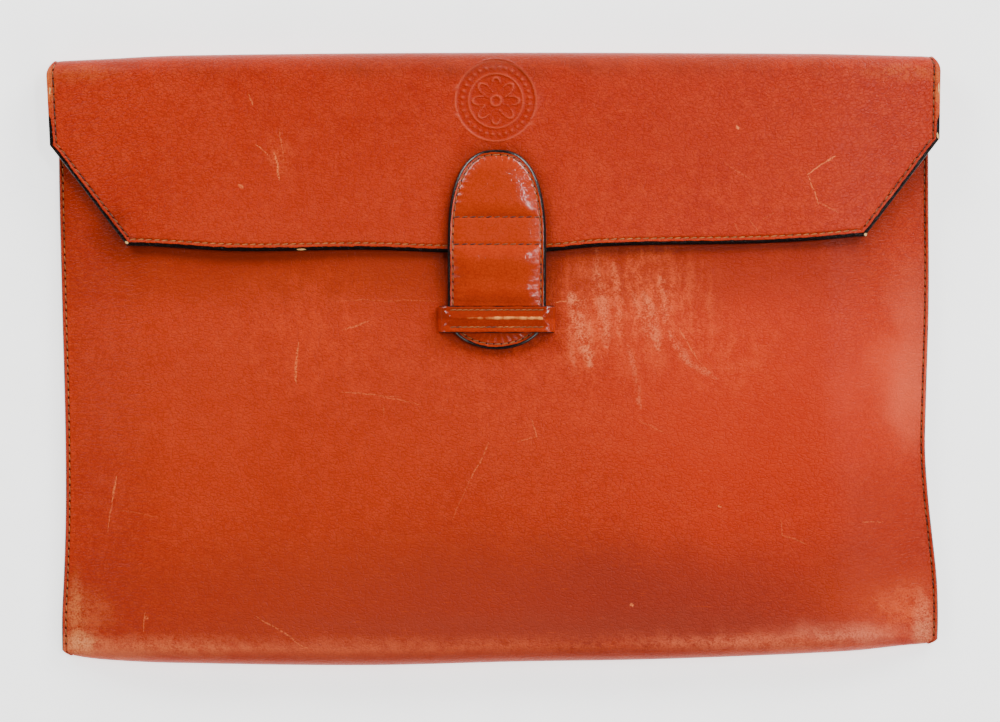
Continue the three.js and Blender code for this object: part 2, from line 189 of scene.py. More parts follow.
SIDES = {
    "at": [0, 0.075, 0.14, 0.205, 0.27, 0.35, 0.44, 0.6, 0.8, 1],
    "left": [-0.35, -0.31, -0.47, -0.6, -0.66, -0.64, -0.55, -0.3, -0.04, 0],
    "right": [0.78, 0.89, 0.78, 0.4, 0, -0.3, -0.2, 0.04, 0, 0],
}
FULLNESS = {
    "at": [0, 0.1, 0.22, 0.4, 0.55, 0.7, 0.85, 1],
    "full": [0.8, 0.8, 0.86, 1, 1, 0.9, 0.78, 0.74],
}
DENTS = [  # across, up, wide, tall, height
    (-0.62, 0.22, 0.26, 0.3, -0.6),
    (-0.2, -0.66, 0.5, 0.22, -1),
    (0.8, -0.12, 0.2, 0.32, 0.9),
    (0.5, -0.6, 0.3, 0.2, -0.5),
]
BOTTOM = {
    "at": [-1, -0.9, -0.74, -0.3, 0.06, 0.33, 0.59, 0.82, 1],
    "rise": [0.46, 0.26, 0.12, 0, 0.18, 0.27, 0.46, 0.7, 1],
}
TOP = {
    "at": [-1, -0.87, -0.7, -0.07, 0.7, 1],
    "fall": [1, 0.76, 0.34, 0, 0.12, 0.4],
}
FLAP_EDGE = {
    "at": [-1, -0.7, -0.35, -0.12, 0.12, 0.3, 0.7, 0.87, 1],
    "rise": [0.43, 0.1, 0.18, 0.02, 0.06, 0.4, 0.57, 0.76, 1],
    "curl": [0.3, 1, 0.3, 0.15, 0.15, 0.6, 0.3, 0.5, 0.3],
}


def read(table, column, at):
    """Reads a column on a smooth curve through its rows."""
    knots, values = np.array(table["at"], float), np.array(table[column], float)
    slopes = np.zeros(len(knots))
    slopes[1:-1] = (values[2:] - values[:-2]) / (knots[2:] - knots[:-2])
    i = np.clip(np.searchsorted(knots, at, side="right") - 1, 0, len(knots) - 2)
    reach = knots[i + 1] - knots[i]
    t = np.clip((at - knots[i]) / reach, 0, 1)
    bend = t * (1 - t) ** 2 * reach * slopes[i] + t * t * (t - 1) * reach * slopes[i + 1]
    return values[i] + (values[i + 1] - values[i]) * t * t * (3 - 2 * t) + bend


print(len(SIDES["at"]), "rows for the side seams,", len(DENTS), "dents")

# %% Surfaces of the folded hide
def body_half(right, y):
    share = y / CASE_HEIGHT + 0.5
    wave = np.where(right, read(SIDES, "right", share), read(SIDES, "left", share))
    return BODY_WIDTH / 2 + SIDE_WAVE * wave


def top_line(x):
    return FOLD_TOP - TOP_FALL * read(TOP, "fall", x / (FLAP_WIDTH / 2))


def bottom_line(x):
    return FOLD_BOTTOM + BOTTOM_RISE * read(BOTTOM, "rise", x / (BODY_WIDTH / 2))


def fullness_at(y):
    return POCKET_DEPTH * read(FULLNESS, "full", y / CASE_HEIGHT + 0.5)


def spread(x, y):
    """How far the front's middle layer lies above the back's."""
    level = np.clip(y, LEVEL_BOTTOM, MOUTH)
    inset = body_half(x >= 0, level) - np.abs(x) - SEAM_ALLOWANCE
    q = np.clip(inset / SIDE_RISE, 0, 1)
    fillet = SEAM_FILLET / SIDE_RISE
    rise = np.sin(math.pi / 2 * q * q * (1 + fillet) / (q + fillet))
    full = fullness_at(level)
    for across, up, wide, tall, height in DENTS:
        a = (x / (BODY_WIDTH / 2) - across) / wide
        b = (level / (CASE_HEIGHT / 2) - up) / tall
        full = full + DENT * height * np.exp(-a * a - b * b)
    return HIDE + SEAM_GAP + (full - SEAM_GAP) * rise


def front_middle(x, y):
    return HIDE / 2 + spread(x, y)


def flap_edge_line(x, column):
    return read(FLAP_EDGE, column, (x - FLAP_SHIFT) / (FLAP_LOWER_WIDTH / 2))


def flap_edge(x):
    return FOLD_TOP - FLAP_DROP + FLAP_EDGE_RISE * flap_edge_line(x, "rise")


def flap_middle(x, y):
    level = np.minimum(y, MOUTH)
    fall = HIDE + fullness_at(np.maximum(level, LEVEL_BOTTOM)) - spread(x, level)
    down = np.clip((MOUTH - level) / (MOUTH - flap_edge(x)), 0, 1)
    curl = FLAP_LIFT * flap_edge_line(x, "curl") * down**2
    stand_off = FLAP_STIFFNESS * np.maximum(fall, 0)
    return front_middle(x, level) + HIDE + LAY_GAP + stand_off + curl


def bottom_radius(x):
    return spread(x, np.full_like(x, LEVEL_BOTTOM)) / 2


def bottom_centre(x):
    return bottom_line(x) + HIDE / 2 + bottom_radius(x)


def top_radius(x):
    return (flap_middle(x, np.full_like(x, MOUTH)) - HIDE / 2) / 2


def top_centre(x):
    return top_line(x) - HIDE / 2 - top_radius(x)


FLAP_START = HIDE / 2 + float(top_radius(np.zeros(1))[0])
SHOULDER = (FLAP_SHOULDER - FLAP_START) / (FLAP_DROP - FLAP_START)
FRONT, BOTTOM_FOLD, BACK, TOP_FOLD, FLAP, END = range(6)


def hide_half(along, right):
    """Half the hide's width. Along counts strips, with the place in each as a fraction."""
    strip = np.clip(np.floor(along), FRONT, FLAP).astype(int)
    t = along - strip
    side = np.where(right, 1.0, -1.0)
    edge = side * BODY_WIDTH / 2
    low, high = bottom_centre(edge), top_centre(edge)
    front = body_half(right, MOUTH + (low - MOUTH) * t)
    fold = body_half(right, low) - BOTTOM_CORNER * np.sin(math.pi * t) ** 2
    level = low + (high - low) * t
    widening = ease(level, MOUTH - FLAP_WIDENING, high)
    back = body_half(right, level)
    back = back + (FLAP_WIDTH / 2 - back) * widening
    over = FLAP_WIDTH / 2 - TOP_CORNER * np.sin(math.pi * t) ** 2
    shoulder = FLAP_WIDTH / 2 - FLAP_TAPER + side * FLAP_SHIFT / 2
    lower = FLAP_LOWER_WIDTH / 2 + side * FLAP_SHIFT
    past = (t - SHOULDER) / (1 - SHOULDER)
    upper_side = FLAP_WIDTH / 2 + (shoulder - FLAP_WIDTH / 2) * t / SHOULDER
    flap = np.where(past < 0, upper_side, shoulder + (lower - shoulder) * past)
    return np.choose(strip, [front, fold, back, over, flap])


def hide_x(along, inset, right):
    """X of a place that lies inset from the side edge. Away from the edge the insets
    stretch so that half the body's width always reaches the middle."""
    half = hide_half(along, right)
    reach = BODY_WIDTH / 2
    stretch = 1 + (half / reach - 1) * ease(inset, 12, reach)
    return np.where(right, 1.0, -1.0) * (half - inset * stretch)


def hide_middle(along, inset, right):
    """Middle of the leather's thickness, as rows of x, y and z."""
    strip = np.clip(np.floor(along), FRONT, FLAP).astype(int)
    t = along - strip
    x = hide_x(along, inset, right)
    low, high, edge = bottom_centre(x), top_centre(x), flap_edge(x)
    r, big = bottom_radius(x), top_radius(x)
    front_y = MOUTH + (low - MOUTH) * t
    flap_y = high + (edge - high) * t
    turn = math.pi * t
    ys = [
        front_y,
        low - r * np.sin(turn),
        low + (high - low) * t,
        high + big * np.sin(turn),
        flap_y,
    ]
    zs = [
        front_middle(x, front_y),
        HIDE / 2 + r + r * np.cos(turn),
        np.full_like(x, HIDE / 2),
        HIDE / 2 + big - big * np.cos(turn),
        flap_middle(x, flap_y),
    ]
    return np.stack([x, np.choose(strip, ys), np.choose(strip, zs)], axis=-1)


def hide_normal(along, inset, right):
    """Which way the outer face looks."""
    step = 1e-3
    strip = np.clip(np.floor(along), FRONT, FLAP)
    before = np.maximum(along - step, strip)
    after = np.minimum(along + step, strip + 1 - 1e-9)
    down = hide_middle(after, inset, right) - hide_middle(before, inset, right)
    near = np.maximum(inset - 0.05, 0)
    outward = hide_middle(along, near, right) - hide_middle(along, near + 0.1, right)
    across = outward * np.where(right, 1.0, -1.0)[:, None]
    normal = np.cross(down, across)
    return normal / np.linalg.norm(normal, axis=1)[:, None]


probe = hide_middle(np.array([4.999]), np.array([0.0]), np.array([True]))
print("the flap's lower right corner is at", probe.round(1).tolist())

# %% [markdown]
# ## From a flat grid to a leather sheet
#
# A grid is cut in the flat, finer where the edges and channels need it, then every corner
# is moved to its place on the folded hide. The outer and the inner face are two such
# grids. They draw together at the cut edge, as a burnished edge does, so the edge comes
# out round. Two attributes stay on the sheet for the finish: how far a place lies from
# the cut edge, and how far along that edge.

# %% Sheet maker
def grid_in_the_flat(columns, rows):
    """A bmesh grid whose x and y run from 0 to 1 over the columns and rows."""
    bm = bmesh.new()
    bmesh.ops.create_grid(bm, x_segments=columns - 1, y_segments=rows - 1, size=0.5)
    bmesh.ops.translate(bm, verts=bm.verts, vec=(0.5, 0.5, 0))
    return bm


def shares(bm):
    """Each corner's x and y, as an array."""
    return np.array([vert.co[:2] for vert in bm.verts])


def lay_on(bm, points, attributes, flip):
    """Moves a flat grid's corners to their points and stores its attributes."""
    for name, values in attributes.items():
        layer = bm.verts.layers.float.get(name) or bm.verts.layers.float.new(name)
        for vert, value in zip(bm.verts, values):
            vert[layer] = float(value)
    for vert, point in zip(bm.verts, points * MM):
        vert.co = point
    if flip:
        bmesh.ops.reverse_faces(bm, faces=bm.faces)


def join_faces(name, sheets, merge=2e-6):
    """One closed mesh from an outer and an inner sheet that meet at the edge."""
    whole = bmesh.new()
    for bm in sheets:
        part = bpy.data.meshes.new("part")
        bm.to_mesh(part)
        whole.from_mesh(part)
        bpy.data.meshes.remove(part)
        bm.free()
    bmesh.ops.remove_doubles(whole, verts=whole.verts, dist=merge)
    loose = [edge for edge in whole.edges if not edge.is_manifold]
    for face in whole.faces:
        face.smooth = True
    data = bpy.data.meshes.new(name)
    whole.to_mesh(data)
    whole.free()
    piece = new_object(name, data)
    count = sum(len(p.vertices) - 2 for p in data.polygons)
    print(name, "has", count, "triangles and", len(loose), "open edges")
    return piece


print("a grid of 3 by 2 has", len(grid_in_the_flat(3, 2).faces), "faces")

# %% Where the rows and columns lie
EDGE_INSETS = [0, 0.06, 0.2, 0.42, 0.7, 1.0, 1.3, 1.6, 1.8, 2.0, 2.2, 2.45, 2.7, 2.95, 3.2, 3.5]
EDGE_INSETS += [3.8, 4.3, 5.0, 6.0, 7.6, 9.8]
RISE_INSETS = list(np.arange(12.5, 48, 3.0))
MIDDLE_INSETS = list(np.linspace(50, BODY_WIDTH / 2, 38))
insets = np.array(EDGE_INSETS + RISE_INSETS + MIDDLE_INSETS)
column_inset = np.concatenate([insets, insets[-2::-1]])
column_right = np.arange(len(column_inset)) >= len(insets)
column_across = np.where(column_right, 1.0, -1.0) * (BODY_WIDTH / 2 - column_inset)

EDGE_ROWS = np.array(EDGE_INSETS[:16] + [4.4, 5.8])
FRONT_LENGTH = MOUTH - FOLD_BOTTOM
FLAP_LENGTH = FLAP_DROP - FLAP_START
row_along = np.concatenate(
    [
        EDGE_ROWS[:6] / FRONT_LENGTH,
        FRONT + np.linspace(2.4 / FRONT_LENGTH, 1, 72)[:-1],
        BOTTOM_FOLD + np.linspace(0, 1, 25)[:-1],
        BACK + np.linspace(0, 1, 58)[:-1],
        TOP_FOLD + np.linspace(0, 1, 29)[:-1],
        FLAP + np.linspace(0, SHOULDER, 12)[:-1],
        FLAP + np.linspace(SHOULDER, 1 - 7.6 / FLAP_LENGTH, 17),
        FLAP + 1 - EDGE_ROWS[::-1] / FLAP_LENGTH,
    ]
)
row_along[-1] = END - 1e-9
print(len(column_inset), "columns and", len(row_along), "rows")

# %% [markdown]
# ## The cut edge and the sewn channel
#
# The saddler burnished the cut edges round, sank a channel 2 to 3 mm inside them and sewed
# along it at 3.3 mm. Outside the channel the leather bulges a little like piping, and
# inside it the sheet is drawn down. The front and back share one edge along the side
# seams, so there the two layers are drawn together into a single rounded edge.

# %% Edge, channel and seal profile
STITCH_PITCH = 3.3
CHANNEL, FLAP_CHANNEL, TAB_CHANNEL = 1.9, 2.8, 2.2
SINK, SINK_REACH = 0.34, 0.34
PIPING, PIPING_OUT, PIPING_REACH = 0.16, 0.9, 0.5
DRAW, DRAW_REACH = 0.16, 2.6
HIDE_ROUND, TAB_ROUND, KEEPER_ROUND = 1.0, 1.15, 0.9
SEAL_CENTRE, SEAL_RADIUS, SEAL_SINK = (1.0, 106.5), 16.6, 0.35
INNER_RING, BEAD_RING, BEAD_COUNT, HEART_RING = 11.2, 13.9, 32, 2.1
DIAGONAL_LEAN = math.cos(math.atan2(CORNER_CUT - FLAP_TAPER, FLAP_DROP - FLAP_SHOULDER))


def hump(away, reach):
    """A soft ridge: 1 in its middle, and a third of that at its reach."""
    return np.exp(-((away / reach) ** 2))


def rounding(edge, radius):
    """A quarter circle: 0 at the cut edge and 1 from the radius on."""
    return np.sqrt(1 - (1 - np.minimum(edge / radius, 1)) ** 2)


def edge_distances(along, inset, points):
    """Distance to the side edge, and to the nearer free end of the hide."""
    on_diagonal = (along - FLAP) > SHOULDER
    side = inset * np.where(on_diagonal, DIAGONAL_LEAN, 1.0)
    end = np.full_like(inset, 99.0)
    on_flap, on_front = along >= FLAP, along < BOTTOM_FOLD
    end[on_flap] = (points[:, 1] - flap_edge(points[:, 0]))[on_flap]
    end[on_front] = (MOUTH - points[:, 1])[on_front]
    return side, np.maximum(end, 0)


def channel_of(along):
    """How far inside the edge the hide is sewn."""
    return CHANNEL + (FLAP_CHANNEL - CHANNEL) * ease(along, TOP_FOLD + 0.6, FLAP + 0.02)


def channel_relief(edge, channel):
    """The sewn channel, the piping outside it and the draw inside it."""
    off = edge - channel
    sink = -SINK * hump(off, SINK_REACH)
    piping = PIPING * hump(off + PIPING_OUT, PIPING_REACH)
    return sink + piping - DRAW * hump(off, DRAW_REACH)


def seal_relief(x, y):
    """A blind stamp's pressed ground, and its rings, beads and eight-petalled rosette."""
    dx, dy = x - SEAL_CENTRE[0], y - SEAL_CENTRE[1]
    r = np.hypot(dx, dy)
    turn = np.arctan2(dy, dx)
    inside = 1 - ease(r, SEAL_RADIUS - 0.6, SEAL_RADIUS + 0.8)
    rings = 0.46 * hump(r - SEAL_RADIUS, 0.42) + 0.4 * hump(r - INNER_RING, 0.4)
    bead_gap = (turn / (2 * math.pi) * BEAD_COUNT) % 1 - 0.5
    bead = np.hypot(bead_gap * 2 * math.pi * BEAD_RING / BEAD_COUNT, r - BEAD_RING)
    beads = 0.45 * hump(bead, 0.62)
    petal = np.abs(np.cos(4 * turn))
    reach = 3.2 + 6.4 * petal**0.7
    outline = 0.45 * hump(r - reach, 0.5) * (r > 2.4)
    heart = 0.4 * hump(r - HEART_RING, 0.5)
    return inside, rings + beads + outline + heart


def hide_face(along, inset, right, face):
    """Points on the outer (1) or inner (-1) face, with the distances to the side edge and the
    free end.
    """
    middle = hide_middle(along, inset, right)
    normal = hide_normal(along, inset, right)
    side, end = edge_distances(along, inset, middle)
    edge = np.minimum(side, end)
    rounded, round_side = rounding(edge, HIDE_ROUND), rounding(side, HIDE_ROUND)
    sewn = 1 - ease(middle[:, 1], MOUTH - 12, MOUTH) * (along >= BACK)
    sewn = sewn * (along < TOP_FOLD)
    offset = -HIDE / 2 * sewn * (1 - round_side) + face * HIDE / 2 * rounded
    if face > 0:
        channel_side = np.where(along < BOTTOM_FOLD, side, edge)
        relief = channel_relief(channel_side, channel_of(along))
        offset = offset + relief * ease(edge, 0, 0.5)
        upper = along >= TOP_FOLD + 0.5
        pressed, raised = seal_relief(middle[:, 0], middle[:, 1])
        offset = offset + (raised - SEAL_SINK * pressed) * upper
    return middle + normal * offset[:, None], side, end


print("the sewn channel is", round(SINK + DRAW, 2), "mm deep")

# %% [markdown]
# ## The hide itself
#
# The seal on the flap needs finer leather than the rest, so the flat grid is subdivided
# there before it is laid on the folded shape.

# %% Wrap
def side_run(right):
    """Length along the side edge at each row."""
    count = len(row_along)
    rights = np.full(count, right)
    edge = hide_middle(row_along, np.zeros(count), rights)
    steps = np.linalg.norm(np.diff(edge, axis=0), axis=1)
    return np.concatenate([[0], np.cumsum(steps)])


def flap_outline(x):
    """Where the flap ends, its cut corners included, above or below each x."""
    half, lower = FLAP_WIDTH / 2, FLAP_LOWER_WIDTH / 2
    shoulder_y = FOLD_TOP - FLAP_SHOULDER
    outward = np.clip((np.abs(x - FLAP_SHIFT) - lower) / (half - lower), 0, 1)
    edge = flap_edge(np.clip(x, FLAP_SHIFT - lower, FLAP_SHIFT + lower))
    return edge + (shoulder_y - edge) * outward


SEAL_MARGIN, SEAL_CUTS = 3.2, 6
RUB_STARTS, RUB_ENDS, FLAP_SHADOW_REACH = 97, 104, 13
END_RUN = 400  # sets the run along the hide's two ends apart from the run of its sides
RUNS = {True: side_run(True), False: side_run(False)}
print("laid flat, the hide is", round(RUNS[True][-1]), "mm long at its side")


def place_on_hide(bm):
    """Each corner of the flat grid as a place on the hide: along it, inset and side."""
    share, count = shares(bm), len(column_inset)
    across = np.interp(share[:, 0] * (count - 1), np.arange(count), column_across)
    along = np.interp(share[:, 1], np.linspace(0, 1, len(row_along)), row_along)
    return along, BODY_WIDTH / 2 - np.abs(across), across > 0


def wrap_face(face):
    """The hide's outer (1) or inner (-1) face."""
    bm = grid_in_the_flat(len(column_inset), len(row_along))
    along, inset, right = place_on_hide(bm)
    if face > 0:
        where = hide_middle(along, inset, right)
        off = np.hypot(where[:, 0] - SEAL_CENTRE[0], where[:, 1] - SEAL_CENTRE[1])
        near = (off < SEAL_RADIUS + SEAL_MARGIN) & (along > FLAP - 0.45)
        bm.verts.ensure_lookup_table()
        edges = [e for e in bm.edges if near[e.verts[0].index] and near[e.verts[1].index]]
        bmesh.ops.subdivide_edges(bm, edges=edges, cuts=SEAL_CUTS, use_grid_fill=True)
        print("the seal's grid has", len(bm.verts) - len(along), "more corners")
        along, inset, right = place_on_hide(bm)
    points, side, end = hide_face(along, inset, right, face)
    runs = [np.interp(along, row_along, RUNS[side_is_right]) for side_is_right in (True, False)]
    run = np.where(end < side, points[:, 0] + END_RUN, np.where(right, *runs))
    edge = np.minimum(side, end)
    # the edge paint is 1.5 mm wide on the flap's cut corners and lower edge, partly paint and
    # partly painted shadow under the edge
    upper_side = (along >= TOP_FOLD) & (end > 60)
    width = np.where(along >= TOP_FOLD, np.where(upper_side, 0.8, 1.5), 0.55)
    rubbed = (along >= TOP_FOLD) * ease(points[:, 1], RUB_STARTS, RUB_ENDS)
    under = np.maximum(flap_outline(points[:, 0]) - points[:, 1], 0)
    flap_shadow = np.exp(-under / FLAP_SHADOW_REACH)
    pressed, raised = seal_relief(points[:, 0], points[:, 1])
    on_flap = (along >= TOP_FOLD + 0.5) * (face > 0)
    attributes = {
        "pressed": pressed * on_flap,
        "raised": raised * on_flap,
        "off_line": np.where(along < BOTTOM_FOLD, side, edge) - channel_of(along),
        "run": run,
        "paint": width * (1 - 1.2 * rubbed) - edge,
        "inside": np.full(len(points), float(face < 0)),
        # painted shadow on the front, darkest just under the flap's edge
        "painted_shade": np.where(along < BOTTOM_FOLD, flap_shadow, 0),
    }
    lay_on(bm, points, attributes, flip=face > 0)
    return bm


wrap = join_faces("hide_wrap_leather", [wrap_face(1), wrap_face(-1)])
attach(wrap, "root")
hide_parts("hide_wrap")

# %% [markdown]
# ## The tab
#
# The tab is two layers of glazed leather with padding between them, sewn all round and
# across in two rows where it is fixed to the flap. An outline that is resampled evenly,
# with rings that step inwards from it, gives a grid whose lines follow the sewn rim. So
# the channel, the puckers at each stitch and the padded panels can all be real shape.

# %% Tab sizes and heights
TAB_WIDTH, TAB_ABOVE, TAB_ARCH, TAB_END, TAB_TAIL = 40.6, 42.5, 39.0, 14.0, 6.8
TAB_THICKNESS, TAB_PADDING, TAB_STEP, TAB_CENTRE = 2.6, 1.45, 15.0, 1.4
KEEPER_LENGTH, KEEPER_WIDTH, KEEPER_THICKNESS, KEEPER_BELOW = 48.4, 11.2, 2.0, 27.4
SEWN_ROWS = (58.4, 47.2)  # where the two rows of stitches cross the tab
EDGE_AT_TAB = float(flap_edge(np.array([TAB_CENTRE]))[0])
KEEPER_Y = EDGE_AT_TAB - KEEPER_BELOW
TAB_TOP = EDGE_AT_TAB + TAB_ABOVE
TAB_TIP = KEEPER_Y - KEEPER_WIDTH / 2 - TAB_TAIL
SQUARENESS = 0.8  # below 1 the tab's arch fills out at its shoulders
PANEL_REACH, PAD_REACH = 6.5, 8.5  # how far from a seam the padding reaches its height


def resample(line, count):
    """Evenly spaced points along a line of points."""
    steps = np.linalg.norm(np.diff(line, axis=0), axis=1)
    run = np.concatenate([[0], np.cumsum(steps)])
    at = np.linspace(0, run[-1], count)
    return np.stack([np.interp(at, run, line[:, k]) for k in range(line.shape[1])], axis=1)


def tab_outline(count):
    """The tab's edge, from its top round its right side to its tip and back."""
    turn = np.linspace(0, math.pi / 2, 240)
    half = TAB_WIDTH / 2
    arch_y = TAB_TOP - TAB_ARCH + TAB_ARCH * np.cos(turn) ** SQUARENESS
    arch = np.stack([half * np.sin(turn) ** SQUARENESS, arch_y], axis=1)
    end_y = TAB_TIP + TAB_END - TAB_END * np.sin(turn)
    end = np.stack([half * np.cos(turn), end_y], axis=1)
    side = np.concatenate([arch, end])
    whole = np.concatenate([side, side[::-1] * (-1, 1)])
    return resample(whole, count) + (TAB_CENTRE, 0)


OUTLINE = tab_outline(2001)


def tab_edge(x, y):
    """Distance to the tab's edge, and how far along the edge the nearest place is."""
    nearest = np.empty(len(x), int)
    away = np.empty(len(x))
    for i in range(0, len(x), 2000):
        dx = x[i : i + 2000, None] - OUTLINE[None, :, 0]
        dy = y[i : i + 2000, None] - OUTLINE[None, :, 1]
        gap = np.hypot(dx, dy)
        nearest[i : i + 2000] = gap.argmin(axis=1)
        away[i : i + 2000] = gap.min(axis=1)
    step = np.linalg.norm(OUTLINE[1] - OUTLINE[0])
    return away, nearest * step


def tab_underside(x, y):
    """The tab steps down from the flap to the front where the flap ends."""
    edge = flap_edge(x)
    on_flap = flap_middle(x, np.maximum(y, edge))
    down = ease(edge - HIDE / 2 - y, 0, TAB_STEP)
    return on_flap + (front_middle(x, y) - on_flap) * down + HIDE / 2 + 0.12


def pillow(distance, reach):
    """Rises steeply from a sewn line and levels out."""
    return 1 - (1 - np.clip(distance / reach, 0, 1)) ** 2.2


def tab_face(x, y, edge, run, face):
    """Height of the tab's top or underside."""
    low = tab_underside(x, y)
    middle = low + TAB_THICKNESS / 2
    height = middle + face * TAB_THICKNESS / 2 * rounding(edge, TAB_ROUND)
    if face < 0:
        return height
    upper = pillow(y - SEWN_ROWS[0] - 0.6, PANEL_REACH) * (y > SEWN_ROWS[0])
    lower = pillow(SEWN_ROWS[1] - 0.6 - y, PANEL_REACH) * (y < SEWN_ROWS[1])
    lower = lower * ease(y, KEEPER_Y + 5.6, KEEPER_Y + 13.0)
    pad = TAB_PADDING * pillow(edge - TAB_CHANNEL, PAD_REACH) * (upper + lower)
    beat = 0.5 + 0.5 * np.cos(2 * math.pi * run / STITCH_PITCH)
    pucker = -0.24 * beat * hump(edge - TAB_CHANNEL - 1.0, 1.1)
    rows = sum(-0.42 * hump(y - row, 0.45) for row in SEWN_ROWS)
    rows = rows * ease(edge, 1.2, 2.2)
    sewn = channel_relief(edge, TAB_CHANNEL) + pucker
    return height + pad + sewn * ease(edge, 0, 0.5) + rows


print("the tab is", round(TAB_TOP - TAB_TIP, 1), "mm long")

# %% Tab mesh
PERIMETER, INNER_RINGS, TAB_PAINT = 361, 7, 1.2
RINGS = np.array(EDGE_INSETS[:16] + [6.6, 7.6])
SPINE_BOTTOM, SPINE_TOP = TAB_TIP + 13.5, TAB_TOP - 17.5
loop = tab_outline(PERIMETER)


def tab_sheet(face):
    """The tab's top (1) or underside (-1): rings that step inwards to its spine."""
    bm = grid_in_the_flat(PERIMETER, len(RINGS) + INNER_RINGS)
    share = shares(bm)
    at = np.rint(share[:, 0] * (PERIMETER - 1)).astype(int)
    ring = np.rint(share[:, 1] * (len(RINGS) + INNER_RINGS - 1)).astype(int)
    start = loop[at]
    spine_y = np.clip(start[:, 1], SPINE_BOTTOM, SPINE_TOP)
    spine = np.stack([np.full(len(at), TAB_CENTRE), spine_y], axis=1)
    reach = np.linalg.norm(spine - start, axis=1)
    inner = np.clip((ring - len(RINGS) + 1) / INNER_RINGS, 0, 1)
    near = RINGS[np.minimum(ring, len(RINGS) - 1)]
    step = near + (reach - near) * inner
    flat = start + (spine - start) * (step / reach)[:, None]
    edge, run = tab_edge(flat[:, 0], flat[:, 1])
    edge = np.where(ring == 0, 0, edge)
    height = tab_face(flat[:, 0], flat[:, 1], edge, run, face)
    attributes = {"off_line": edge - TAB_CHANNEL, "run": run, "paint": TAB_PAINT - edge}
    lay_on(bm, np.column_stack([flat, height]), attributes, flip=False)
    return bm


tab = join_faces("closure_tab_leather", [tab_sheet(1), tab_sheet(-1)], merge=2e-5)
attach(tab, "root")
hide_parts("closure_tab")

# %% [markdown]
# ## The keeper loop
#
# The keeper is a short band that is folded over a cord, so it has a ridge along its
# middle. The ridge ends in a slope at each end, like a hipped roof, and the band then
# bends down through a slit in the front and turns under it.

# %% Keeper mesh
KEEPER_BEND, KEEPER_TURN, KEEPER_FOOT = 3.4, 1.2, 6.0
RIDGE_HEIGHT, RIDGE_AT, RIDGE_HALF = 1.75, 0.5, 18.4
RIDGE_FOOT, RIDGE_END, CREST = 3.1, 3.0, 22  # a higher crest value is a sharper one
KEEPER_STITCHES = (3.8, -3.2)
KEEPER_PAINT, NO_HOLES = 0.35, 9  # so far off its line, the finish paints no shaded holes
here = np.array([TAB_CENTRE]), np.array([KEEPER_Y])
FRONT_AT_KEEPER = float(front_middle(*here)[0]) + HIDE / 2
LEG = KEEPER_LENGTH / 2 - KEEPER_THICKNESS / 2


def keeper_path(count):
    """The band's middle line seen from the near side, from its left foot to its right."""
    top = FRONT_AT_KEEPER + 2 * LAY_GAP + TAB_THICKNESS + KEEPER_THICKNESS / 2
    foot = FRONT_AT_KEEPER - HIDE - 2 * LAY_GAP - KEEPER_THICKNESS / 2
    turn = np.linspace(0, math.pi / 2, 30)
    under_x = LEG + KEEPER_TURN - KEEPER_TURN * np.sin(turn)
    under_z = foot + KEEPER_TURN - KEEPER_TURN * np.cos(turn)
    over_x = LEG - KEEPER_BEND + KEEPER_BEND * np.cos(turn)
    over_z = top - KEEPER_BEND + KEEPER_BEND * np.sin(turn)
    half_x = np.concatenate([[LEG + KEEPER_TURN + KEEPER_FOOT], under_x, over_x])
    half_z = np.concatenate([[foot], under_z, over_z])
    half = np.stack([half_x, half_z], axis=1)
    return resample(np.concatenate([half * (-1, 1), half[::-1]]), count)


ACROSS = np.array([0, 0.05, 0.18, 0.4, 0.7, 1.0, 1.3, 1.5, 1.7, 1.9, 2.15, 2.5, 2.9, 3.4])
ACROSS = np.concatenate([ACROSS, np.linspace(3.8, KEEPER_WIDTH / 2, 8)])
ACROSS = np.concatenate([ACROSS, (KEEPER_WIDTH - ACROSS)[-2::-1]]) - KEEPER_WIDTH / 2
PATH = keeper_path(141)
path_step = np.gradient(PATH, axis=0)
path_step /= np.linalg.norm(path_step, axis=1)[:, None]
PATH_NORMAL = np.stack([-path_step[:, 1], path_step[:, 0]], axis=1)


def keeper_relief(x, w):
    """The ridge with its sloping ends, and the two sewn channels."""
    roof = np.clip(1 - np.abs(w - RIDGE_AT) / RIDGE_FOOT, 0, 1)
    slope = np.clip((RIDGE_HALF + RIDGE_END - np.abs(x)) / RIDGE_END, 0, 1)
    ridge = -np.log(np.exp(-CREST * roof) + np.exp(-CREST * slope)) / CREST
    ridge = RIDGE_HEIGHT * np.clip(ridge + 0.03, 0, 0.97)
    on_top = hump(np.maximum(np.abs(x) - 18.5, 0), 1.2)
    channels = sum(hump(w - row, 0.35) for row in KEEPER_STITCHES)
    return ridge - 0.25 * channels * on_top


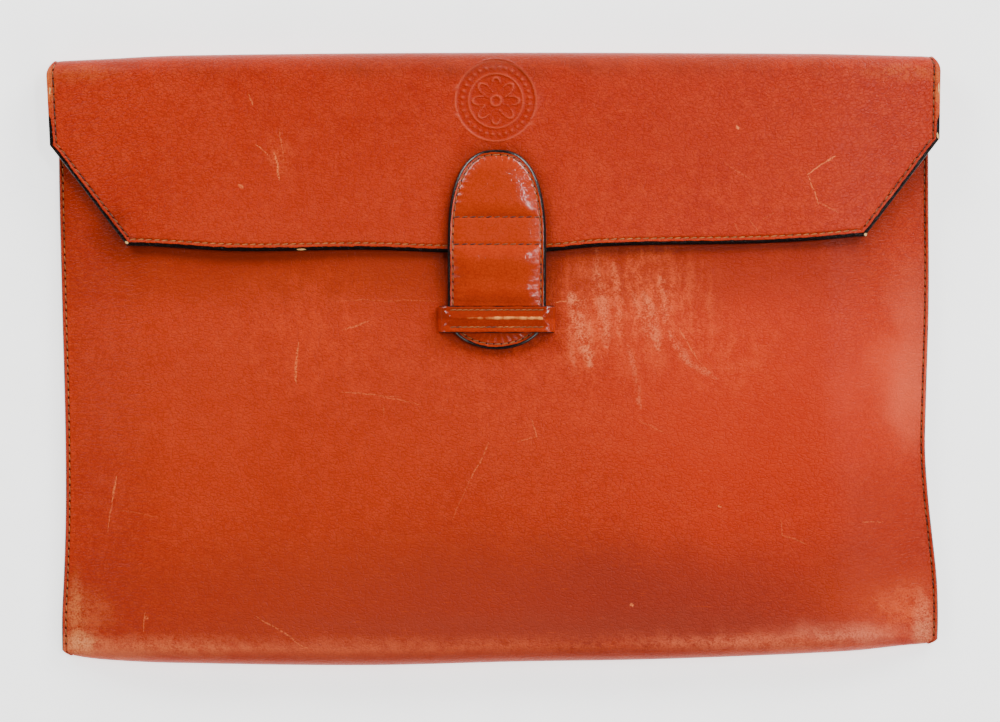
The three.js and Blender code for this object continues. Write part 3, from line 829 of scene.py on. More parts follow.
def keeper_sheet(face):
    """The band's outer (1) or inner (-1) face."""
    bm = grid_in_the_flat(len(PATH), len(ACROSS))
    share = shares(bm)
    at = np.rint(share[:, 0] * (len(PATH) - 1)).astype(int)
    w = ACROSS[np.rint(share[:, 1] * (len(ACROSS) - 1)).astype(int)]
    edge = np.minimum(KEEPER_WIDTH / 2 - np.abs(w), np.minimum(at, len(PATH) - 1 - at) * 0.5)
    x = PATH[at, 0]
    offset = face * KEEPER_THICKNESS / 2 * rounding(edge, KEEPER_ROUND)
    relief = keeper_relief(x, w) if face > 0 else 0 * x
    offset = offset + relief * ease(edge, 0, 1)
    points = np.column_stack([x, w, PATH[at, 1]])
    points += np.column_stack([PATH_NORMAL[at, 0], 0 * w, PATH_NORMAL[at, 1]]) * offset[:, None]
    points += (TAB_CENTRE, KEEPER_Y, 0)
    # the ridge is rubbed pale, and the pale stripe is also a painted highlight, stronger to the
    # right
    wear_and_highlight = ease(relief, 0.55 * RIDGE_HEIGHT, 0.95 * RIDGE_HEIGHT)
    wear_and_highlight = wear_and_highlight * (0.62 + 0.38 * ease(x, -12, 2))
    attributes = {
        "off_line": edge + NO_HOLES,
        "run": x,
        "wear_and_highlight": wear_and_highlight,
        "paint": KEEPER_PAINT - edge,
        # painted shade on the band's upper slope
        "painted_shade": 0.6 * ease(w, -1.0, 0.8),
    }
    lay_on(bm, points, attributes, flip=False)
    return bm


keeper = join_faces("keeper_loop_leather", [keeper_sheet(1), keeper_sheet(-1)])
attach(keeper, "root")
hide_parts("keeper_loop")

# %% [markdown]
# ## Stitches
#
# Each stitch is a short twist of waxed thread that comes up through one hole and goes
# down through the next, so from above it is a rice grain, sunk at both ends and slightly
# slanted. A small sphere, stretched and turned, is enough at this size, and there are
# hundreds of them, so it has few faces.

# %% Stitch maker
STITCH_LENGTH, THREAD, STITCH_SLANT, STITCH_RISE = 2.75, 0.62, 9, 0.1
KEEPER_PITCH = 2.4
print("stitches are", STITCH_LENGTH, "by", THREAD, "mm")


def sew(name, seams):
    """One mesh with a stitch at each place of each seam. A seam is how dark its thread is, from
    soil
    and painted shade, and a list of places: a point on the leather, the way along and the way
    out."""
    grain = bmesh.new()
    bmesh.ops.create_uvsphere(grain, u_segments=8, v_segments=6, radius=1)
    for face in grain.faces:
        face.smooth = True
    shape = bpy.data.meshes.new("stitch")
    grain.to_mesh(shape)
    grain.free()
    bm = bmesh.new()
    thread_darkness = []
    for seam_darkness, places in seams:
        thread_darkness += [seam_darkness] * len(shape.vertices) * len(places)
        for point, along, out in places:
            out = Vector(out).normalized()
            along = Vector(along)
            along = (along - out * along.dot(out)).normalized()
            side = out.cross(along)
            slant = Matrix.Rotation(math.radians(STITCH_SLANT), 3, out)
            turn = slant @ Matrix((along, side, out)).transposed()
            size = Matrix.Diagonal((STITCH_LENGTH / 2, THREAD / 2, THREAD / 2))
            centre = Vector(point) + out * STITCH_RISE
            spot = Matrix.Translation(centre * MM) @ (turn @ size * MM).to_4x4()
            shape.transform(spot)
            bm.from_mesh(shape)
            shape.transform(spot.inverted())
    data = bpy.data.meshes.new(name)
    bm.to_mesh(data)
    bm.free()
    data.attributes.new("thread_darkness", "FLOAT", "POINT").data.foreach_set("value", thread_darkness)
    piece = new_object(name, data)
    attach(piece, "root")
    print(name, "has", sum(len(places) for _, places in seams), "stitches")
    return piece


# %% Seams of the hide
LOWER_SEAM = (-148.5, 151.5)


def column_of(along, x):
    """Inset and side of the column that passes through x on that row."""
    rows = np.full(len(column_inset), along)
    at = np.interp(x, hide_x(rows, column_inset, column_right), column_across)
    return BODY_WIDTH / 2 - np.abs(at), at > 0


def side_seam(right, low, high):
    """Stitches beside a side edge, between two places along the hide."""
    runs = RUNS[right]
    first, last = np.interp([low, high], row_along, runs)
    marks = np.arange(math.ceil(first / STITCH_PITCH), last / STITCH_PITCH) * STITCH_PITCH
    along = np.interp(marks, runs, row_along)
    rights = np.full(len(along), right)
    lean = np.where(along - FLAP > SHOULDER, DIAGONAL_LEAN, 1.0)
    inset = channel_of(along) / lean
    points = hide_face(along, inset, rights, 1)[0]
    ahead = hide_face(np.minimum(along + 0.004, END - 1e-6), inset, rights, 1)[0]
    behind = hide_face(np.maximum(along - 0.004, 0), inset, rights, 1)[0]
    return list(zip(points, ahead - behind, hide_normal(along, inset, rights)))


def lower_seam():
    """Stitches along the flap's lower edge, on both sides of the tab."""
    row = END - FLAP_CHANNEL / FLAP_LENGTH
    marks = np.arange(*LOWER_SEAM, STITCH_PITCH)
    marks = marks[np.abs(marks - TAB_CENTRE) > TAB_WIDTH / 2]
    inset, right = column_of(row, marks)
    rows = np.full(len(marks), row)
    points = hide_face(rows, inset, right, 1)[0]
    along = hide_middle(rows, *column_of(row, marks + 1))
    along = along - hide_middle(rows, *column_of(row, marks - 1))
    return list(zip(points, along, hide_normal(rows, inset, right)))


LAST_DIAGONAL = END - 4.6 / FLAP_LENGTH
# the left side seam's thread is painted paler and the right's darker, as painted light and
# shade
hide_seams = [(0.45 + 0.4 * right, side_seam(right, 0.02, 0.995)) for right in (False, True)]
hide_seams += [(0.8, side_seam(right, BACK + 0.005, LAST_DIAGONAL)) for right in (False, True)]
hide_seams.append((0.4, lower_seam()))
hide_thread = sew("hide_stitches", hide_seams)

# %% Seams of the tab and keeper
def tab_top_at(flat):
    """Height of the tab's top at places that are seen from above."""
    edge, run = tab_edge(flat[:, 0], flat[:, 1])
    return tab_face(flat[:, 0], flat[:, 1], edge, run, 1)


def tab_seam():
    """Stitches round the tab, and the more soiled ones in two rows across it."""
    step = np.linalg.norm(OUTLINE[1] - OUTLINE[0])
    whole = step * (len(OUTLINE) - 1)
    at = (np.arange(0, whole, STITCH_PITCH) / step).astype(int)
    along = OUTLINE[(at + 1) % (len(OUTLINE) - 1)] - OUTLINE[at - 1]
    along[0] = (1, 0)
    inward = np.stack([along[:, 1], -along[:, 0]], axis=1)
    inward /= np.linalg.norm(inward, axis=1)[:, None]
    round_tab = OUTLINE[at] + inward * TAB_CHANNEL
    hidden = np.abs(round_tab[:, 1] - KEEPER_Y) < KEEPER_WIDTH / 2 - 0.5
    places = [(*p, *a) for p, a, gone in zip(round_tab, along, hidden) if not gone]
    round_count = len(places)
    for row in SEWN_ROWS:
        places += [(x + TAB_CENTRE, row, 1, 0) for x in np.arange(-16.5, 17, STITCH_PITCH)]
    flat = np.array(places)
    step = flat[:, 2:] * 0.3
    height = tab_top_at(flat[:, :2])
    rise = tab_top_at(flat[:, :2] + step) - height
    points = np.column_stack([flat[:, :2], height])
    ways = np.column_stack([step, rise])
    stitches = [(p, w, (0, 0, 1)) for p, w in zip(points, ways)]
    return [(0.55, stitches[:round_count]), (0.95, stitches[round_count:])]


def keeper_seam():
    """Two rows of stitches along the keeper."""
    top = FRONT_AT_KEEPER + 2 * LAY_GAP + TAB_THICKNESS + KEEPER_THICKNESS
    places = []
    for row in KEEPER_STITCHES:
        x = np.arange(-18, 18.5, KEEPER_PITCH)
        points = zip(x + TAB_CENTRE, top + keeper_relief(x, np.full(len(x), row)))
        places += [((a, KEEPER_Y + row, height), (1, 0, 0), (0, 0, 1)) for a, height in points]
    return places


tab_thread = sew("tab_stitches", tab_seam())
keeper_thread = sew("keeper_stitches", [(0.6, keeper_seam())])

# %% [markdown]
# ## Leather
#
# All three pieces are vegetable-tanned calf, dyed a warm tan and waxed. The dye sits
# unevenly, so the colour drifts over centimetres and is mottled over millimetres. Fine
# creases, a millimetre or two apart, run mostly across the hide and break its gloss. One
# function builds what every piece of this leather has: dye, grain, painted shade where the
# piece marks it, the pricked and sunken line of stitch holes with painted shade in the holes
# and along the channel, and the dark paint on its cut edges. The attributes that the sheet
# maker kept say where the edges, the stitch line and the painted shade are.

# %% Leather function
PAINT_COLOUR, HOLE_SHADOW_COLOUR = "#120a09", "#2c0e06"
GROOVE_SHADOW_COLOUR, PAINTED_SHADE_COLOUR = "#8a2a0c", "#751d06"
PAINT_STARTS, PAINT_COVERS, PAINT_ROUGHNESS = 0.38, 0.52, 0.22
HOLE_RADIUS, GROOVE_REACH = 0.54, 0.8
DRIFTS_PER_METRE, MOTTLES_PER_METRE, CHIPS_PER_METRE = 17.0, 210.0, 300.0
CREASES_PER_METRE, FLECKS_PER_METRE = 640.0, 1400.0
RELIEF = 0.0001  # metres of height for a bump of 1


def stain(tree, colour, shade, value, low=0.0, high=1.0, strength=1.0):
    """Lays a shade over a colour, more as a value goes from low to high."""
    share = add(tree, RANGE, SOFT | {1: low, 2: high, 4: strength}, {0: value})
    mix = {"data_type": "RGBA", 7: linear(shade)}
    return add(tree, MIX, mix, {0: share, 6: colour}, out=2)


def dyed_leather(name, deep, bright, fleck_shade, crease_shade, contrast):
    """Starts a leather finish. Gives the sockets that a piece may add to."""
    material, tree, _ = new_material(name)
    place = add(tree, PLACE, out="Object")
    keys = ("off_line", "run", "paint", "wear_and_highlight", "inside", "painted_shade", "pressed", "raised")
    kept = {k: add(tree, ATTRIBUTE, {"attribute_name": k}, out="Fac") for k in keys}

    drift = {"Scale": DRIFTS_PER_METRE, "Detail": 4.0, "Roughness": 0.55}
    drift = add(tree, NOISE, drift, {0: place})
    colour = add(tree, RAMP, None, {0: drift})
    stops = colour.node.color_ramp.elements
    stops[0].position, stops[1].position = 0.35, 0.62
    stops[0].color, stops[1].color = linear(deep), linear(bright)
    mottle = {"Scale": MOTTLES_PER_METRE, "Detail": 4.0, "Roughness": 0.7}
    mottle = add(tree, NOISE, mottle, {0: place})
    fleck = {"Scale": FLECKS_PER_METRE, "Detail": 3.0, "Roughness": 0.7}
    fleck = add(tree, NOISE, fleck, {0: place})

    stretched = add(tree, MAPPING, {"Scale": (0.75, 1.15, 1.0)}, {0: place})
    warp = add(tree, NOISE, {"Scale": 420.0, "Detail": 1.0}, {0: place}, out="Color")
    warped = TIMES_PLUS | {1: (0.0016, 0.0016, 0.0016)}
    warped = add(tree, VECTOR, warped, {0: warp, 2: stretched})
    cells = {"feature": "DISTANCE_TO_EDGE", "Scale": CREASES_PER_METRE}
    cells = add(tree, "ShaderNodeTexVoronoi", cells, {0: warped})
    crease = add(tree, RANGE, SOFT | {1: 0.16, 2: 0.0}, {0: cells})

    for shade, value, low, high, strength in (
        (fleck_shade, mottle, 0.42, 0.68, 0.5),
        (fleck_shade, fleck, 0.5, 0.68, 0.6),
        (crease_shade, fleck, 0.5, 0.32, 0.8),
        (crease_shade, crease, 0.1, 1.0, 0.55),
    ):
        colour = stain(tree, colour, shade, value, low, high, strength * contrast)
    # painted shade where a piece marks it: under the flap and on the keeper's upper slope
    colour = stain(tree, colour, PAINTED_SHADE_COLOUR, kept["painted_shade"], strength=0.85)

    beat = add(tree, MATH, TIMES | {1: 1 / STITCH_PITCH}, {0: kept["run"]})
    beat = add(tree, MATH, {"operation": "FRACT"}, {0: beat})
    along = TIMES_PLUS | {1: STITCH_PITCH, 2: -STITCH_PITCH / 2}
    along = add(tree, MATH, along, {0: beat})
    off = kept["off_line"]
    spot = add(tree, "ShaderNodeCombineXYZ", None, {0: along, 1: off})
    spot = add(tree, VECTOR, {"operation": "LENGTH"}, {0: spot}, out="Value")
    line = add(tree, MATH, {"operation": "ABSOLUTE"}, {0: off})
    chips = add(tree, NOISE, {"Scale": CHIPS_PER_METRE, "Detail": 4.0}, {0: place})
    ragged = add(tree, MATH, TIMES_PLUS | {1: 0.9}, {0: chips, 2: kept["paint"]})

    hole = add(tree, RANGE, SOFT | {1: HOLE_RADIUS, 2: HOLE_RADIUS / 2}, {0: spot})
    pull = add(tree, MATH, {"operation": "PINGPONG", 1: 0.5}, {0: beat})
    near = add(tree, RANGE, SOFT | {1: 2.4, 2: 0.5, 4: 1.6}, {0: line})
    height = add(tree, MATH, TIMES, {0: pull, 1: near})
    for value, rise in ((crease, -0.8), (fleck, 0.9), (mottle, 0.8), (hole, -2.0)):
        height = add(tree, MATH, TIMES_PLUS | {1: rise}, {0: value, 2: height})
    return {
        "material": material,
        "tree": tree,
        "place": place,
        "kept": kept,
        "colour": colour,
        "mottle": mottle,
        "fleck": fleck,
        "chips": chips,
        "hole": hole,
        "line": line,
        "ragged": ragged,
        "height": height,
    }


def finish_leather(leather, smooth, rough, grain_depth, mirror):
    """Lays painted shade in the groove and holes, and the edge paint, over the rest, and joins
    it all to the shader.
    """
    tree, colour, ragged = leather["tree"], leather["colour"], leather["ragged"]
    # painted shade along the sewn channel and in the stitch holes
    colour = stain(tree, colour, GROOVE_SHADOW_COLOUR, leather["line"], GROOVE_REACH, 0.1, 0.55)
    colour = stain(tree, colour, HOLE_SHADOW_COLOUR, leather["hole"], strength=0.9)
    colour = stain(tree, colour, PAINT_COLOUR, ragged, PAINT_STARTS, PAINT_COVERS)
    painted = add(tree, RANGE, SOFT | {1: PAINT_STARTS, 2: PAINT_COVERS}, {0: ragged})
    gloss = add(tree, RANGE, {1: 0.3, 2: 0.7, 3: smooth, 4: rough}, {0: leather["mottle"]})
    gloss = add(tree, MIX, {3: PAINT_ROUGHNESS}, {0: painted, 2: gloss})
    bump = {"Strength": grain_depth, "Distance": RELIEF}
    bump = add(tree, "ShaderNodeBump", bump, {"Height": leather["height"]})
    shader = tree.nodes["Principled BSDF"]
    joined = {"Base Color": colour, "Roughness": gloss, "Normal": bump}
    fill(tree, shader, {"IOR": 1.5, "Specular IOR Level": mirror}, joined)
    print(leather["material"].name, "has", len(tree.nodes), "nodes")


print("creases lie about", round(1000 / CREASES_PER_METRE, 1), "mm apart")

# %% [markdown]
# ## Marks of wear, painted shade and painted highlights on the hide
#
# Years of being carried under an arm have left their marks. The corners and the bottom
# fold are rubbed pale, the tab has brushed feathery streaks into the front, and fine
# scratches cross it all. Light and shade are painted in too: painted shade darkens the
# lower front and the top fold, painted shadow lies under the flap and round the tab, and
# painted highlights lie on the right side, on the bottom right corner and along the
# bottom fold. The broad marks are a table of soft ovals, each with its own shade and
# texture. Each corner of the sheet keeps what they leave of the dye and what they lay over
# it, because that renders much faster than nodes for every mark. The scratches and brushed
# strokes are tables of short lines, which are finer than the sheet, so they are drawn in
# the material. Noise bends them all a little, so that nothing looks ruled. A mask by
# height keeps them off the back.

# %% Tables of wear, painted shade and painted highlights
PATCHES = {  # texture: x, y, half width, half height in mm, shade, strength
    "soft": [
        # these three rows: painted shade, the lower front painted darker
        (0, -100, 215, 34, "#862a1a", 0.66),
        (20, -98, 170, 26, "#862c20", 0.35),
        (10, -112, 190, 9, "#8a3424", 0.5),
        (54, 22, 34, 24, "#dc4c1e", 0.3),
        # these two rows: painted shade along the top fold
        (0, 128, 230, 11, "#7a3320", 0.62),
        (-160, 124, 40, 8, "#8a2c18", 0.6),
        # these four rows: painted highlights on the right side
        (172, -15, 15, 22, "#fc7450", 0.42),
        (176, 14, 12, 30, "#f06a4a", 0.3),
        (160, 0, 12, 14, "#e85430", 0.35),
        (145, -14, 12, 13, "#e04c28", 0.3),
        (110, -20, 80, 70, "#d23108", 0.5),
        (-75, -25, 150, 120, "#c23e1a", 0.35),
        (162, -98, 34, 16, "#c0380c", 0.5),
        (164, -72, 28, 36, "#98280f", 0.5),
        # this row: a painted sheen along the bottom fold
        (0, -124, 220, 5, "#b85036", 0.4),
        (-160, -122, 28, 3.5, "#e8784a", 0.35),
        (146, -114, 36, 6, "#e0684a", 0.3),
        (-110, -120, 90, 3.5, "#c85c3c", 0.3),
        (0, 82, 240, 52, "#9c2000", 0.25),
        # these two rows: painted shadow under the flap's lower edge and under its left cut
        # corner
        (-10, 33, 215, 14, "#8a280e", 0.4),
        (-158, 52, 9, 12, "#661402", 0.5),
        (112, -119, 50, 3.2, "#c85030", 0.4),
    ],
    "rubbed": [
        (-148, -118.5, 60, 4.2, "#e87848", 0.5),
        (-50, -119, 90, 3.4, "#dc6438", 0.4),
        (40, -117, 80, 3.4, "#d85c34", 0.35),
        (108, -117, 50, 4.0, "#f07850", 0.5),
        (148, -113.5, 26, 3.6, "#fa9068", 0.42),
        (-173.5, -106, 4.4, 17, "#f0904e", 0.5),
        (-167, -106, 11, 11, "#e06a34", 0.4),
        (-171, -118, 9, 5, "#ffb070", 0.5),
        # this row: the bottom right corner, rubbed pale and with a painted highlight on it
        (178.5, -110, 5.0, 13, "#ffa878", 0.46),
        (172, -101, 14, 10, "#e86c40", 0.35),
        (168, -104, 20, 11, "#e85820", 0.3),
        (-170, 118, 17, 4, "#c8521f", 0.5),
        (-184, 112, 2.6, 15, "#e07a34", 0.65),
        (172, 119, 22, 4, "#d0602c", 0.4),
        (184.5, 110, 2.6, 14, "#e07a34", 0.65),
        (-88, 84, 3.4, 10, "#e8602c", 0.5),
        (37, 9, 11, 17, "#e8602c", 0.4),
    ],
    "feathered": [
        (58, 22, 36, 28, "#f0602c", 0.7),
        (98, 2, 22, 20, "#e04c1c", 0.5),
        (-76, 14, 34, 30, "#d84012", 0.5),
        (20, 0, 60, 40, "#d83f12", 0.35),
        (-70, -30, 60, 40, "#cc3408", 0.3),
        (-20, 75, 120, 30, "#d23c10", 0.2),
        (100, 60, 80, 24, "#dc4414", 0.2),
    ],
}
SCRATCHES = [  # from x, y to x, y in pixels of the photograph, width in mm, strength
    (833, 157, 823, 163, 0.8, 0.9),
    (823, 163, 808, 175, 0.6, 0.7),
    (808, 178, 817, 203, 0.55, 0.65),
    (817, 203, 836, 214, 0.5, 0.4),
    (724, 164, 747, 179, 0.5, 0.3),
    (250, 96, 255, 107, 0.6, 0.6),
    (258, 147, 269, 156, 0.5, 0.6),
    (275, 155, 281, 178, 1.0, 0.7),
    (281, 132, 284, 155, 0.7, 0.4),
    (240, 186, 245, 188, 1.2, 0.6),
    (117, 478, 112, 500, 0.8, 0.7),
    (112, 500, 109, 530, 0.6, 0.5),
    (120, 511, 158, 516, 0.5, 0.3),
    (488, 445, 470, 480, 0.7, 0.5),
    (470, 480, 453, 516, 0.5, 0.35),
    (299, 345, 298, 381, 1.1, 0.6),
    (345, 330, 368, 322, 0.8, 0.5),
    (345, 393, 395, 396, 0.5, 0.45),
    (380, 395, 418, 404, 0.45, 0.4),
    (383, 405, 384, 414, 0.7, 0.4),
    (532, 421, 536, 438, 0.6, 0.5),
    (518, 441, 534, 437, 0.5, 0.4),
    (261, 617, 304, 645, 0.6, 0.6),
    (779, 520, 781, 534, 0.5, 0.45),
    (781, 534, 803, 543, 0.5, 0.4),
    (862, 522, 882, 523, 0.5, 0.4),
    (873, 598, 890, 612, 0.5, 0.4),
    (146, 612, 144, 630, 0.5, 0.5),
    (556, 303, 580, 301, 0.5, 0.7),
    (340, 302, 434, 301, 0.4, 0.35),
    (680, 330, 694, 358, 0.7, 0.5),
    (694, 358, 715, 378, 0.5, 0.35),
    (640, 420, 662, 432, 0.5, 0.35),
    (590, 320, 586, 352, 0.9, 0.4),
    (736, 127, 738, 129, 1.0, 1.0),
    (630, 605, 632, 606, 0.9, 1.0),
    (147, 616, 148, 617, 1.0, 0.8),
    (718, 505, 720, 506, 0.9, 0.7),
    (748, 220, 757, 232, 0.5, 0.35),
    (760, 222, 772, 214, 0.5, 0.35),
    (735, 224, 738, 230, 0.5, 0.4),
]
STROKES = [  # the same, where the tab's end has brushed the front
    (572, 300, 588, 362, 6.0, 0.54),
    (569, 322, 573, 364, 3.0, 0.3),
    (584, 300, 592, 345, 3.4, 0.26),
    (599, 280, 607, 342, 6.0, 0.4),
    (614, 268, 620, 330, 4.4, 0.3),
    (632, 296, 648, 338, 3.4, 0.32),
    (643, 296, 658, 346, 5.0, 0.46),
    (661, 280, 665, 320, 4.4, 0.36),
    (596, 252, 594, 304, 3.0, 0.3),
    (670, 334, 688, 365, 3.2, 0.42),
    (684, 361, 716, 379, 2.8, 0.34),
    (629, 348, 639, 404, 2.6, 0.3),
]
NICKS = [  # the same, where the edge paint has gone
    (127.2, 243.4, 128.8, 244.4, 0.8, 0.9),
    (937, 134, 938, 138, 0.7, 0.9),
    (862.6, 233.8, 864, 234.8, 0.9, 0.9),
    (298, 250.5, 307, 250.5, 0.6, 0.7),
    (938.5, 84, 939, 93, 0.6, 0.6),
    (51, 88, 51, 94, 0.6, 0.6),
]
SCRATCH_OVERLAP, SCRATCH_REACH = 0.1, 0.8
SCRATCH_SHADE, NICK_SHADE, BRUSHED_SHADE = "#f07840", "#e8b878", "#f88858"
STREAK_SHADE, FLESH_SHADE, BARE_AND_HIGHLIGHT_SHADE = "#d84a1c", "#7d4526", "#f29a50"
PRESSED_SHADE, RAISED_RUB_AND_HIGHLIGHT = "#a02406", "#d8593a"
TAB_SHADOW_SHADE, TAB_SHADOW, TAB_SHADOW_REACH, TAB_SHADOW_ENDS = "#641604", 0.62, 3.6, 20
print(sum(len(rows) for rows in PATCHES.values()), "patches and", len(SCRATCHES), "scratches")


# %% Wear, painted shade and painted highlights on the sheet
WANDERS_PER_METRE, WANDER_OCTAVES, WANDER_ROUGHNESS, WANDER_SEED = 70, 4, 0.6, 7
BENT, SWEPT = (0.004, 0.004, 0), (0.011, 0.003, 0)  # metres of shift for a wander of 1
FRAYED = (0.022, 0.012, 0)
PATCH_FULL, PATCH_GONE = 0.2, 1.3  # where a patch starts to fade and where it ends


def wander_at(points):
    """Noise over centimetres, as a small shift for each point."""
    shift = np.zeros((len(points), 3))
    octaves = [WANDER_ROUGHNESS**octave for octave in range(WANDER_OCTAVES)]
    for octave, size in enumerate(octaves):
        scale = WANDERS_PER_METRE * 2**octave
        layer = [noise.noise_vector(Vector(point) * scale) for point in points]
        shift += size * np.array(layer)
    return shift / 2 / sum(octaves)


def laid_over(left, laid, share, shade):
    """What is left of the dye and what is laid on it, once a share of a shade is added."""
    kept_share = 1 - share
    return left * kept_share, laid * kept_share[:, None] + share[:, None] * linear(shade)[:3]


noise.seed_set(WANDER_SEED)  # unseeded, the noise would change from run to run
spots = np.array([vert.co for vert in wrap.data.vertices])
shift = wander_at(spots)
bent_spots = spots + shift * BENT
frayed_spots = bent_spots + shift * FRAYED
for kind, rows in PATCHES.items():
    at = (bent_spots if kind == "rubbed" else frayed_spots) / MM
    left, laid = np.ones(len(at)), np.zeros((len(at), 3))
    for x, y, wide, tall, shade, strength in rows:
        away = np.hypot((at[:, 0] - x) / wide, (at[:, 1] - y) / tall)
        share = strength * (1 - ease(away, PATCH_FULL, PATCH_GONE))
        left, laid = laid_over(left, laid, share, shade)
    if kind == "soft":  # painted shadow round the tab's edge, on the flap and the front
        flat = spots[:, :2] / MM
        beside = np.abs(flat[:, 0] - TAB_CENTRE) < TAB_WIDTH
        beside = beside & (flat[:, 1] > TAB_TIP - TAB_SHADOW_ENDS)
        share = np.zeros(len(at))
        share[beside] = TAB_SHADOW * np.exp(-tab_edge(*flat[beside].T)[0] / TAB_SHADOW_REACH)
        left, laid = laid_over(left, laid, share, TAB_SHADOW_SHADE)
    layer = wrap.data.attributes.new(kind + "_left", "FLOAT", "POINT")
    layer.data.foreach_set("value", left)
    layer = wrap.data.attributes.new(kind + "_laid", "FLOAT_VECTOR", "POINT")
    layer.data.foreach_set("vector", laid.ravel())
    print(kind, "wear leaves", round(float(left.min()), 2), "of the dye where it is strongest")

# %% Scratch function
def on_case(x, y):
    """A pixel of the photograph as a place on the case, in metres."""
    return Vector((x - PHOTO_MIDDLE[0], PHOTO_MIDDLE[1] - y, 0)) * PHOTO_SCALE * MM


def scratched(tree, place, table):
    """How much of any mark in the table a place has, from 0 to 1. A mark is a slim ellipse
    that runs out to a point, so the distances to its two ends give it."""
    worst = None
    for x0, y0, x1, y1, width, strength in table:
        start, end = on_case(x0, y0), on_case(x1, y1)
        overlap = (end - start) * SCRATCH_OVERLAP
        start, end = start - overlap, end + overlap
        length = (end - start).length
        rim = length + 2 * (SCRATCH_REACH * width * MM) ** 2 / length
        near, far = (
            add(tree, VECTOR, {"operation": "DISTANCE", 1: tip}, {0: place}, out="Value")
            for tip in (start, end)
        )
        path = add(tree, MATH, {"operation": "ADD"}, {0: near, 1: far})
        mark = add(tree, RANGE, {1: rim, 2: length, 4: strength}, {0: path})
        if worst is not None:
            mark = add(tree, MATH, {"operation": "MAXIMUM"}, {0: worst, 1: mark})
        worst = mark
    return worst


print("a scratch of 1 mm fades out", SCRATCH_REACH, "mm from its middle")

# %% Worn hide, with painted shade and painted highlights
hide = dyed_leather("waxed_tan_calf", "#ad270f", "#bd3011", "#cf441e", "#8b1e0d", 0.85)
tree, place, kept, fleck = hide["tree"], hide["place"], hide["kept"], hide["fleck"]
colour = stain(tree, hide["colour"], PRESSED_SHADE, kept["pressed"], strength=0.6)
# the stamp's raised lines are rubbed paler, and the pale also stands in for painted highlights
# on them
colour = stain(tree, colour, RAISED_RUB_AND_HIGHLIGHT, kept["raised"], 0.06, 0.4, 0.6)
height_up = add(tree, "ShaderNodeSeparateXYZ", None, {0: place}, out="Z")
on_front = add(tree, RANGE, SOFT | {1: 0.0012, 2: 0.0022}, {0: height_up})
wander = {"Scale": WANDERS_PER_METRE, "Detail": 4.0, "Roughness": WANDER_ROUGHNESS}
wander = add(tree, NOISE, wander, {0: place}, out="Color")
to_middle = {"operation": "SUBTRACT", 1: (0.5, 0.5, 0.5)}
wander = add(tree, VECTOR, to_middle, {0: wander})
bent = add(tree, VECTOR, TIMES_PLUS | {1: BENT}, {0: wander, 2: place})
flat = add(tree, VECTOR, TIMES | {1: (1, 1, 0)}, {0: bent})
swept = add(tree, VECTOR, TIMES_PLUS | {1: SWEPT}, {0: wander, 2: place})
strands = {"Scale": (340, 42, 60), "Rotation": (0, 0, 0.2)}
strands = add(tree, MAPPING, strands, {0: swept})
feather = {"Scale": 1.0, "Detail": 3.0, "Roughness": 0.6}
feather = add(tree, NOISE, feather, {0: strands})
crumbs = add(tree, MATH, TIMES, {0: fleck, 1: hide["mottle"]})
feather = add(tree, MATH, TIMES, {0: feather, 1: crumbs})
TEXTURES = {  # source, and the values between which the mark goes from none to full
    "soft": (fleck, -0.3, 0.2),
    "rubbed": (crumbs, 0.12, 0.34),
    "feathered": (feather, 0.07, 0.22),
}
for kind, (source, low, high) in TEXTURES.items():
    grain = add(tree, RANGE, SOFT | {1: low, 2: high}, {0: source})
    grain = add(tree, MATH, TIMES, {0: grain, 1: on_front})
    left = add(tree, ATTRIBUTE, {"attribute_name": kind + "_left"}, out="Fac")
    laid = add(tree, ATTRIBUTE, {"attribute_name": kind + "_laid"}, out="Vector")
    over = add(tree, VECTOR, TIMES_PLUS, {0: colour, 1: left, 2: laid})
    over = {0: grain, 6: colour, 7: over}
    colour = add(tree, MIX, {"data_type": "RGBA"}, over, out=2)

for table, shade, source, low, high in (
    (SCRATCHES, SCRATCH_SHADE, fleck, 0.34, 0.55),
    (STROKES, BRUSHED_SHADE, crumbs, 0.13, 0.33),
):
    mark = scratched(tree, flat, table)
    grain = add(tree, RANGE, SOFT | {1: low, 2: high}, {0: source})
    for part in (grain, on_front):
        mark = add(tree, MATH, TIMES, {0: mark, 1: part})
    colour = stain(tree, colour, shade, mark)
for turn in (0.7, -0.5):
    hairs = {"Scale": (150, 2400, 300), "Rotation": (0, 0, turn)}
    hairs = add(tree, MAPPING, hairs, {0: bent})
    hairs = add(tree, NOISE, {"Scale": 1.0, "Detail": 2.0}, {0: hairs})
    colour = stain(tree, colour, STREAK_SHADE, hairs, 0.66, 0.8, 0.5)
hide["colour"] = stain(tree, colour, FLESH_SHADE, kept["inside"])
finish_leather(hide, 0.3, 0.42, 0.85, 0.12)

# The nicks go over the edge paint, and the flesh side inside the pocket is dull.
nick = add(tree, MATH, TIMES, {0: scratched(tree, flat, NICKS), 1: on_front})
shader = tree.nodes["Principled BSDF"]
painted = shader.inputs["Base Color"].links[0].from_socket
gloss = shader.inputs["Roughness"].links[0].from_socket
worn_through = stain(tree, painted, NICK_SHADE, nick, 0.2, 0.6)
dull = add(tree, MIX, {3: 0.9}, {0: kept["inside"], 2: gloss})
fill(tree, shader, None, {"Base Color": worn_through, "Roughness": dull})
wrap.data.materials.append(hide["material"])
print("the hide's finish has", len(tree.nodes), "nodes")

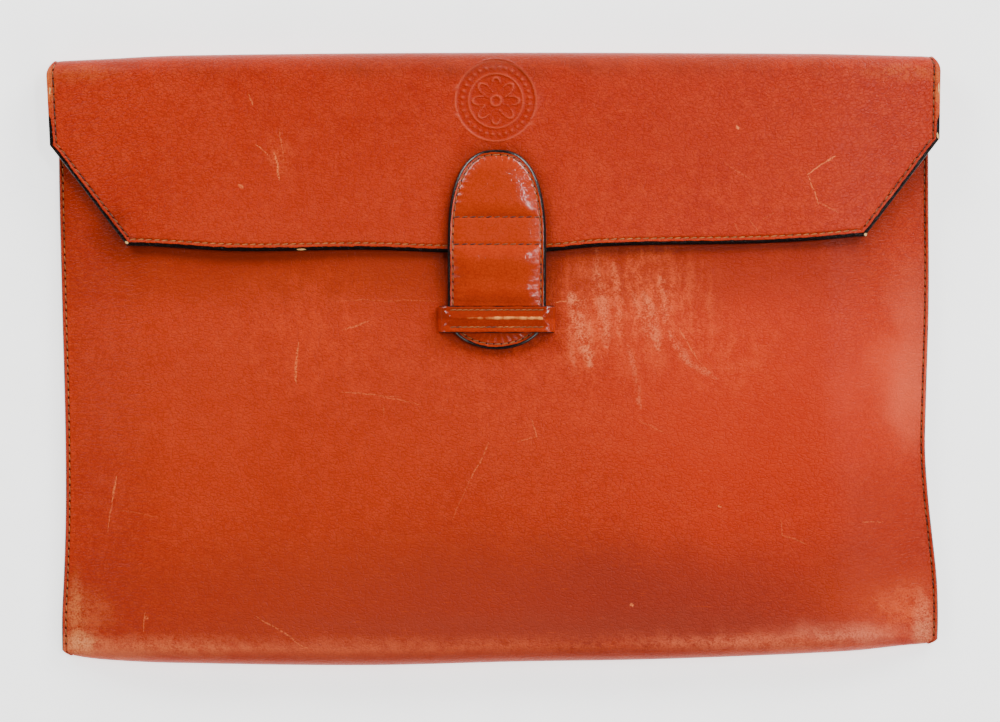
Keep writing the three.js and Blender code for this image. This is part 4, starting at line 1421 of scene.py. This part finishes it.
# %% [markdown]
# ## Glazed tab and keeper
#
# The tab and keeper are the same calf, polished under a glass roller until they shine. So
# they are a little deeper in colour and much glossier than the hide, and the soft boxes
# show in them. The keeper's ridge is rubbed through to the pale leather by every opening,
# and the same pale stripe is also a painted highlight, strongest on its right half.

# %% Glazed leather
glazed = dyed_leather("glazed_tan_calf", "#a82a08", "#b8340c", "#cc4418", "#7a1a05", 0.4)
tree = glazed["tree"]
bare_and_highlight = add(tree, MATH, TIMES, {0: glazed["kept"]["wear_and_highlight"], 1: glazed["chips"]})
glazed["colour"] = stain(tree, glazed["colour"], BARE_AND_HIGHLIGHT_SHADE, bare_and_highlight, 0.3, 0.62)
finish_leather(glazed, 0.11, 0.18, 0.3, 0.5)
for piece in (tab, keeper):
    piece.data.materials.append(glazed["material"])

# %% [markdown]
# ## Waxed thread
#
# The thread is linen drawn through wax, so it has a dull shine and has taken up dirt. It
# is painted paler on the left side seam and darker on the right one, as painted light and
# shade.

# %% Thread
PALE_THREAD, DARK_THREAD = "#cc7430", "#34180a"
thread, tree, shader = new_material("waxed_linen_thread")
place = add(tree, PLACE, out="Object")
seam_darkness = add(tree, ATTRIBUTE, {"attribute_name": "thread_darkness"}, out="Fac")
thread_darkness = add(tree, NOISE, {"Scale": 260.0, "Detail": 2.0}, {0: place})
thread_darkness = add(tree, MATH, TIMES_PLUS | {1: 1.4, 2: -0.7}, {0: thread_darkness})
shade = add(tree, MATH, {"operation": "ADD"}, {0: seam_darkness, 1: thread_darkness})
tone = add(tree, RAMP, None, {0: shade})
stops = tone.node.color_ramp.elements
stops[0].color, stops[1].color = linear(PALE_THREAD), linear(DARK_THREAD)
twist = {"Scale": 420.0, "bands_direction": "DIAGONAL"}
twist = add(tree, "ShaderNodeTexWave", twist, {0: place}, out="Fac")
bump = {"Strength": 0.4, "Distance": RELIEF}
bump = add(tree, "ShaderNodeBump", bump, {"Height": twist})
fill(tree, shader, {"Roughness": 0.5}, {"Base Color": tone, "Normal": bump})
for piece in (hide_thread, tab_thread, keeper_thread):
    piece.data.materials.append(thread)
print("the thread's finish has", len(tree.nodes), "nodes")
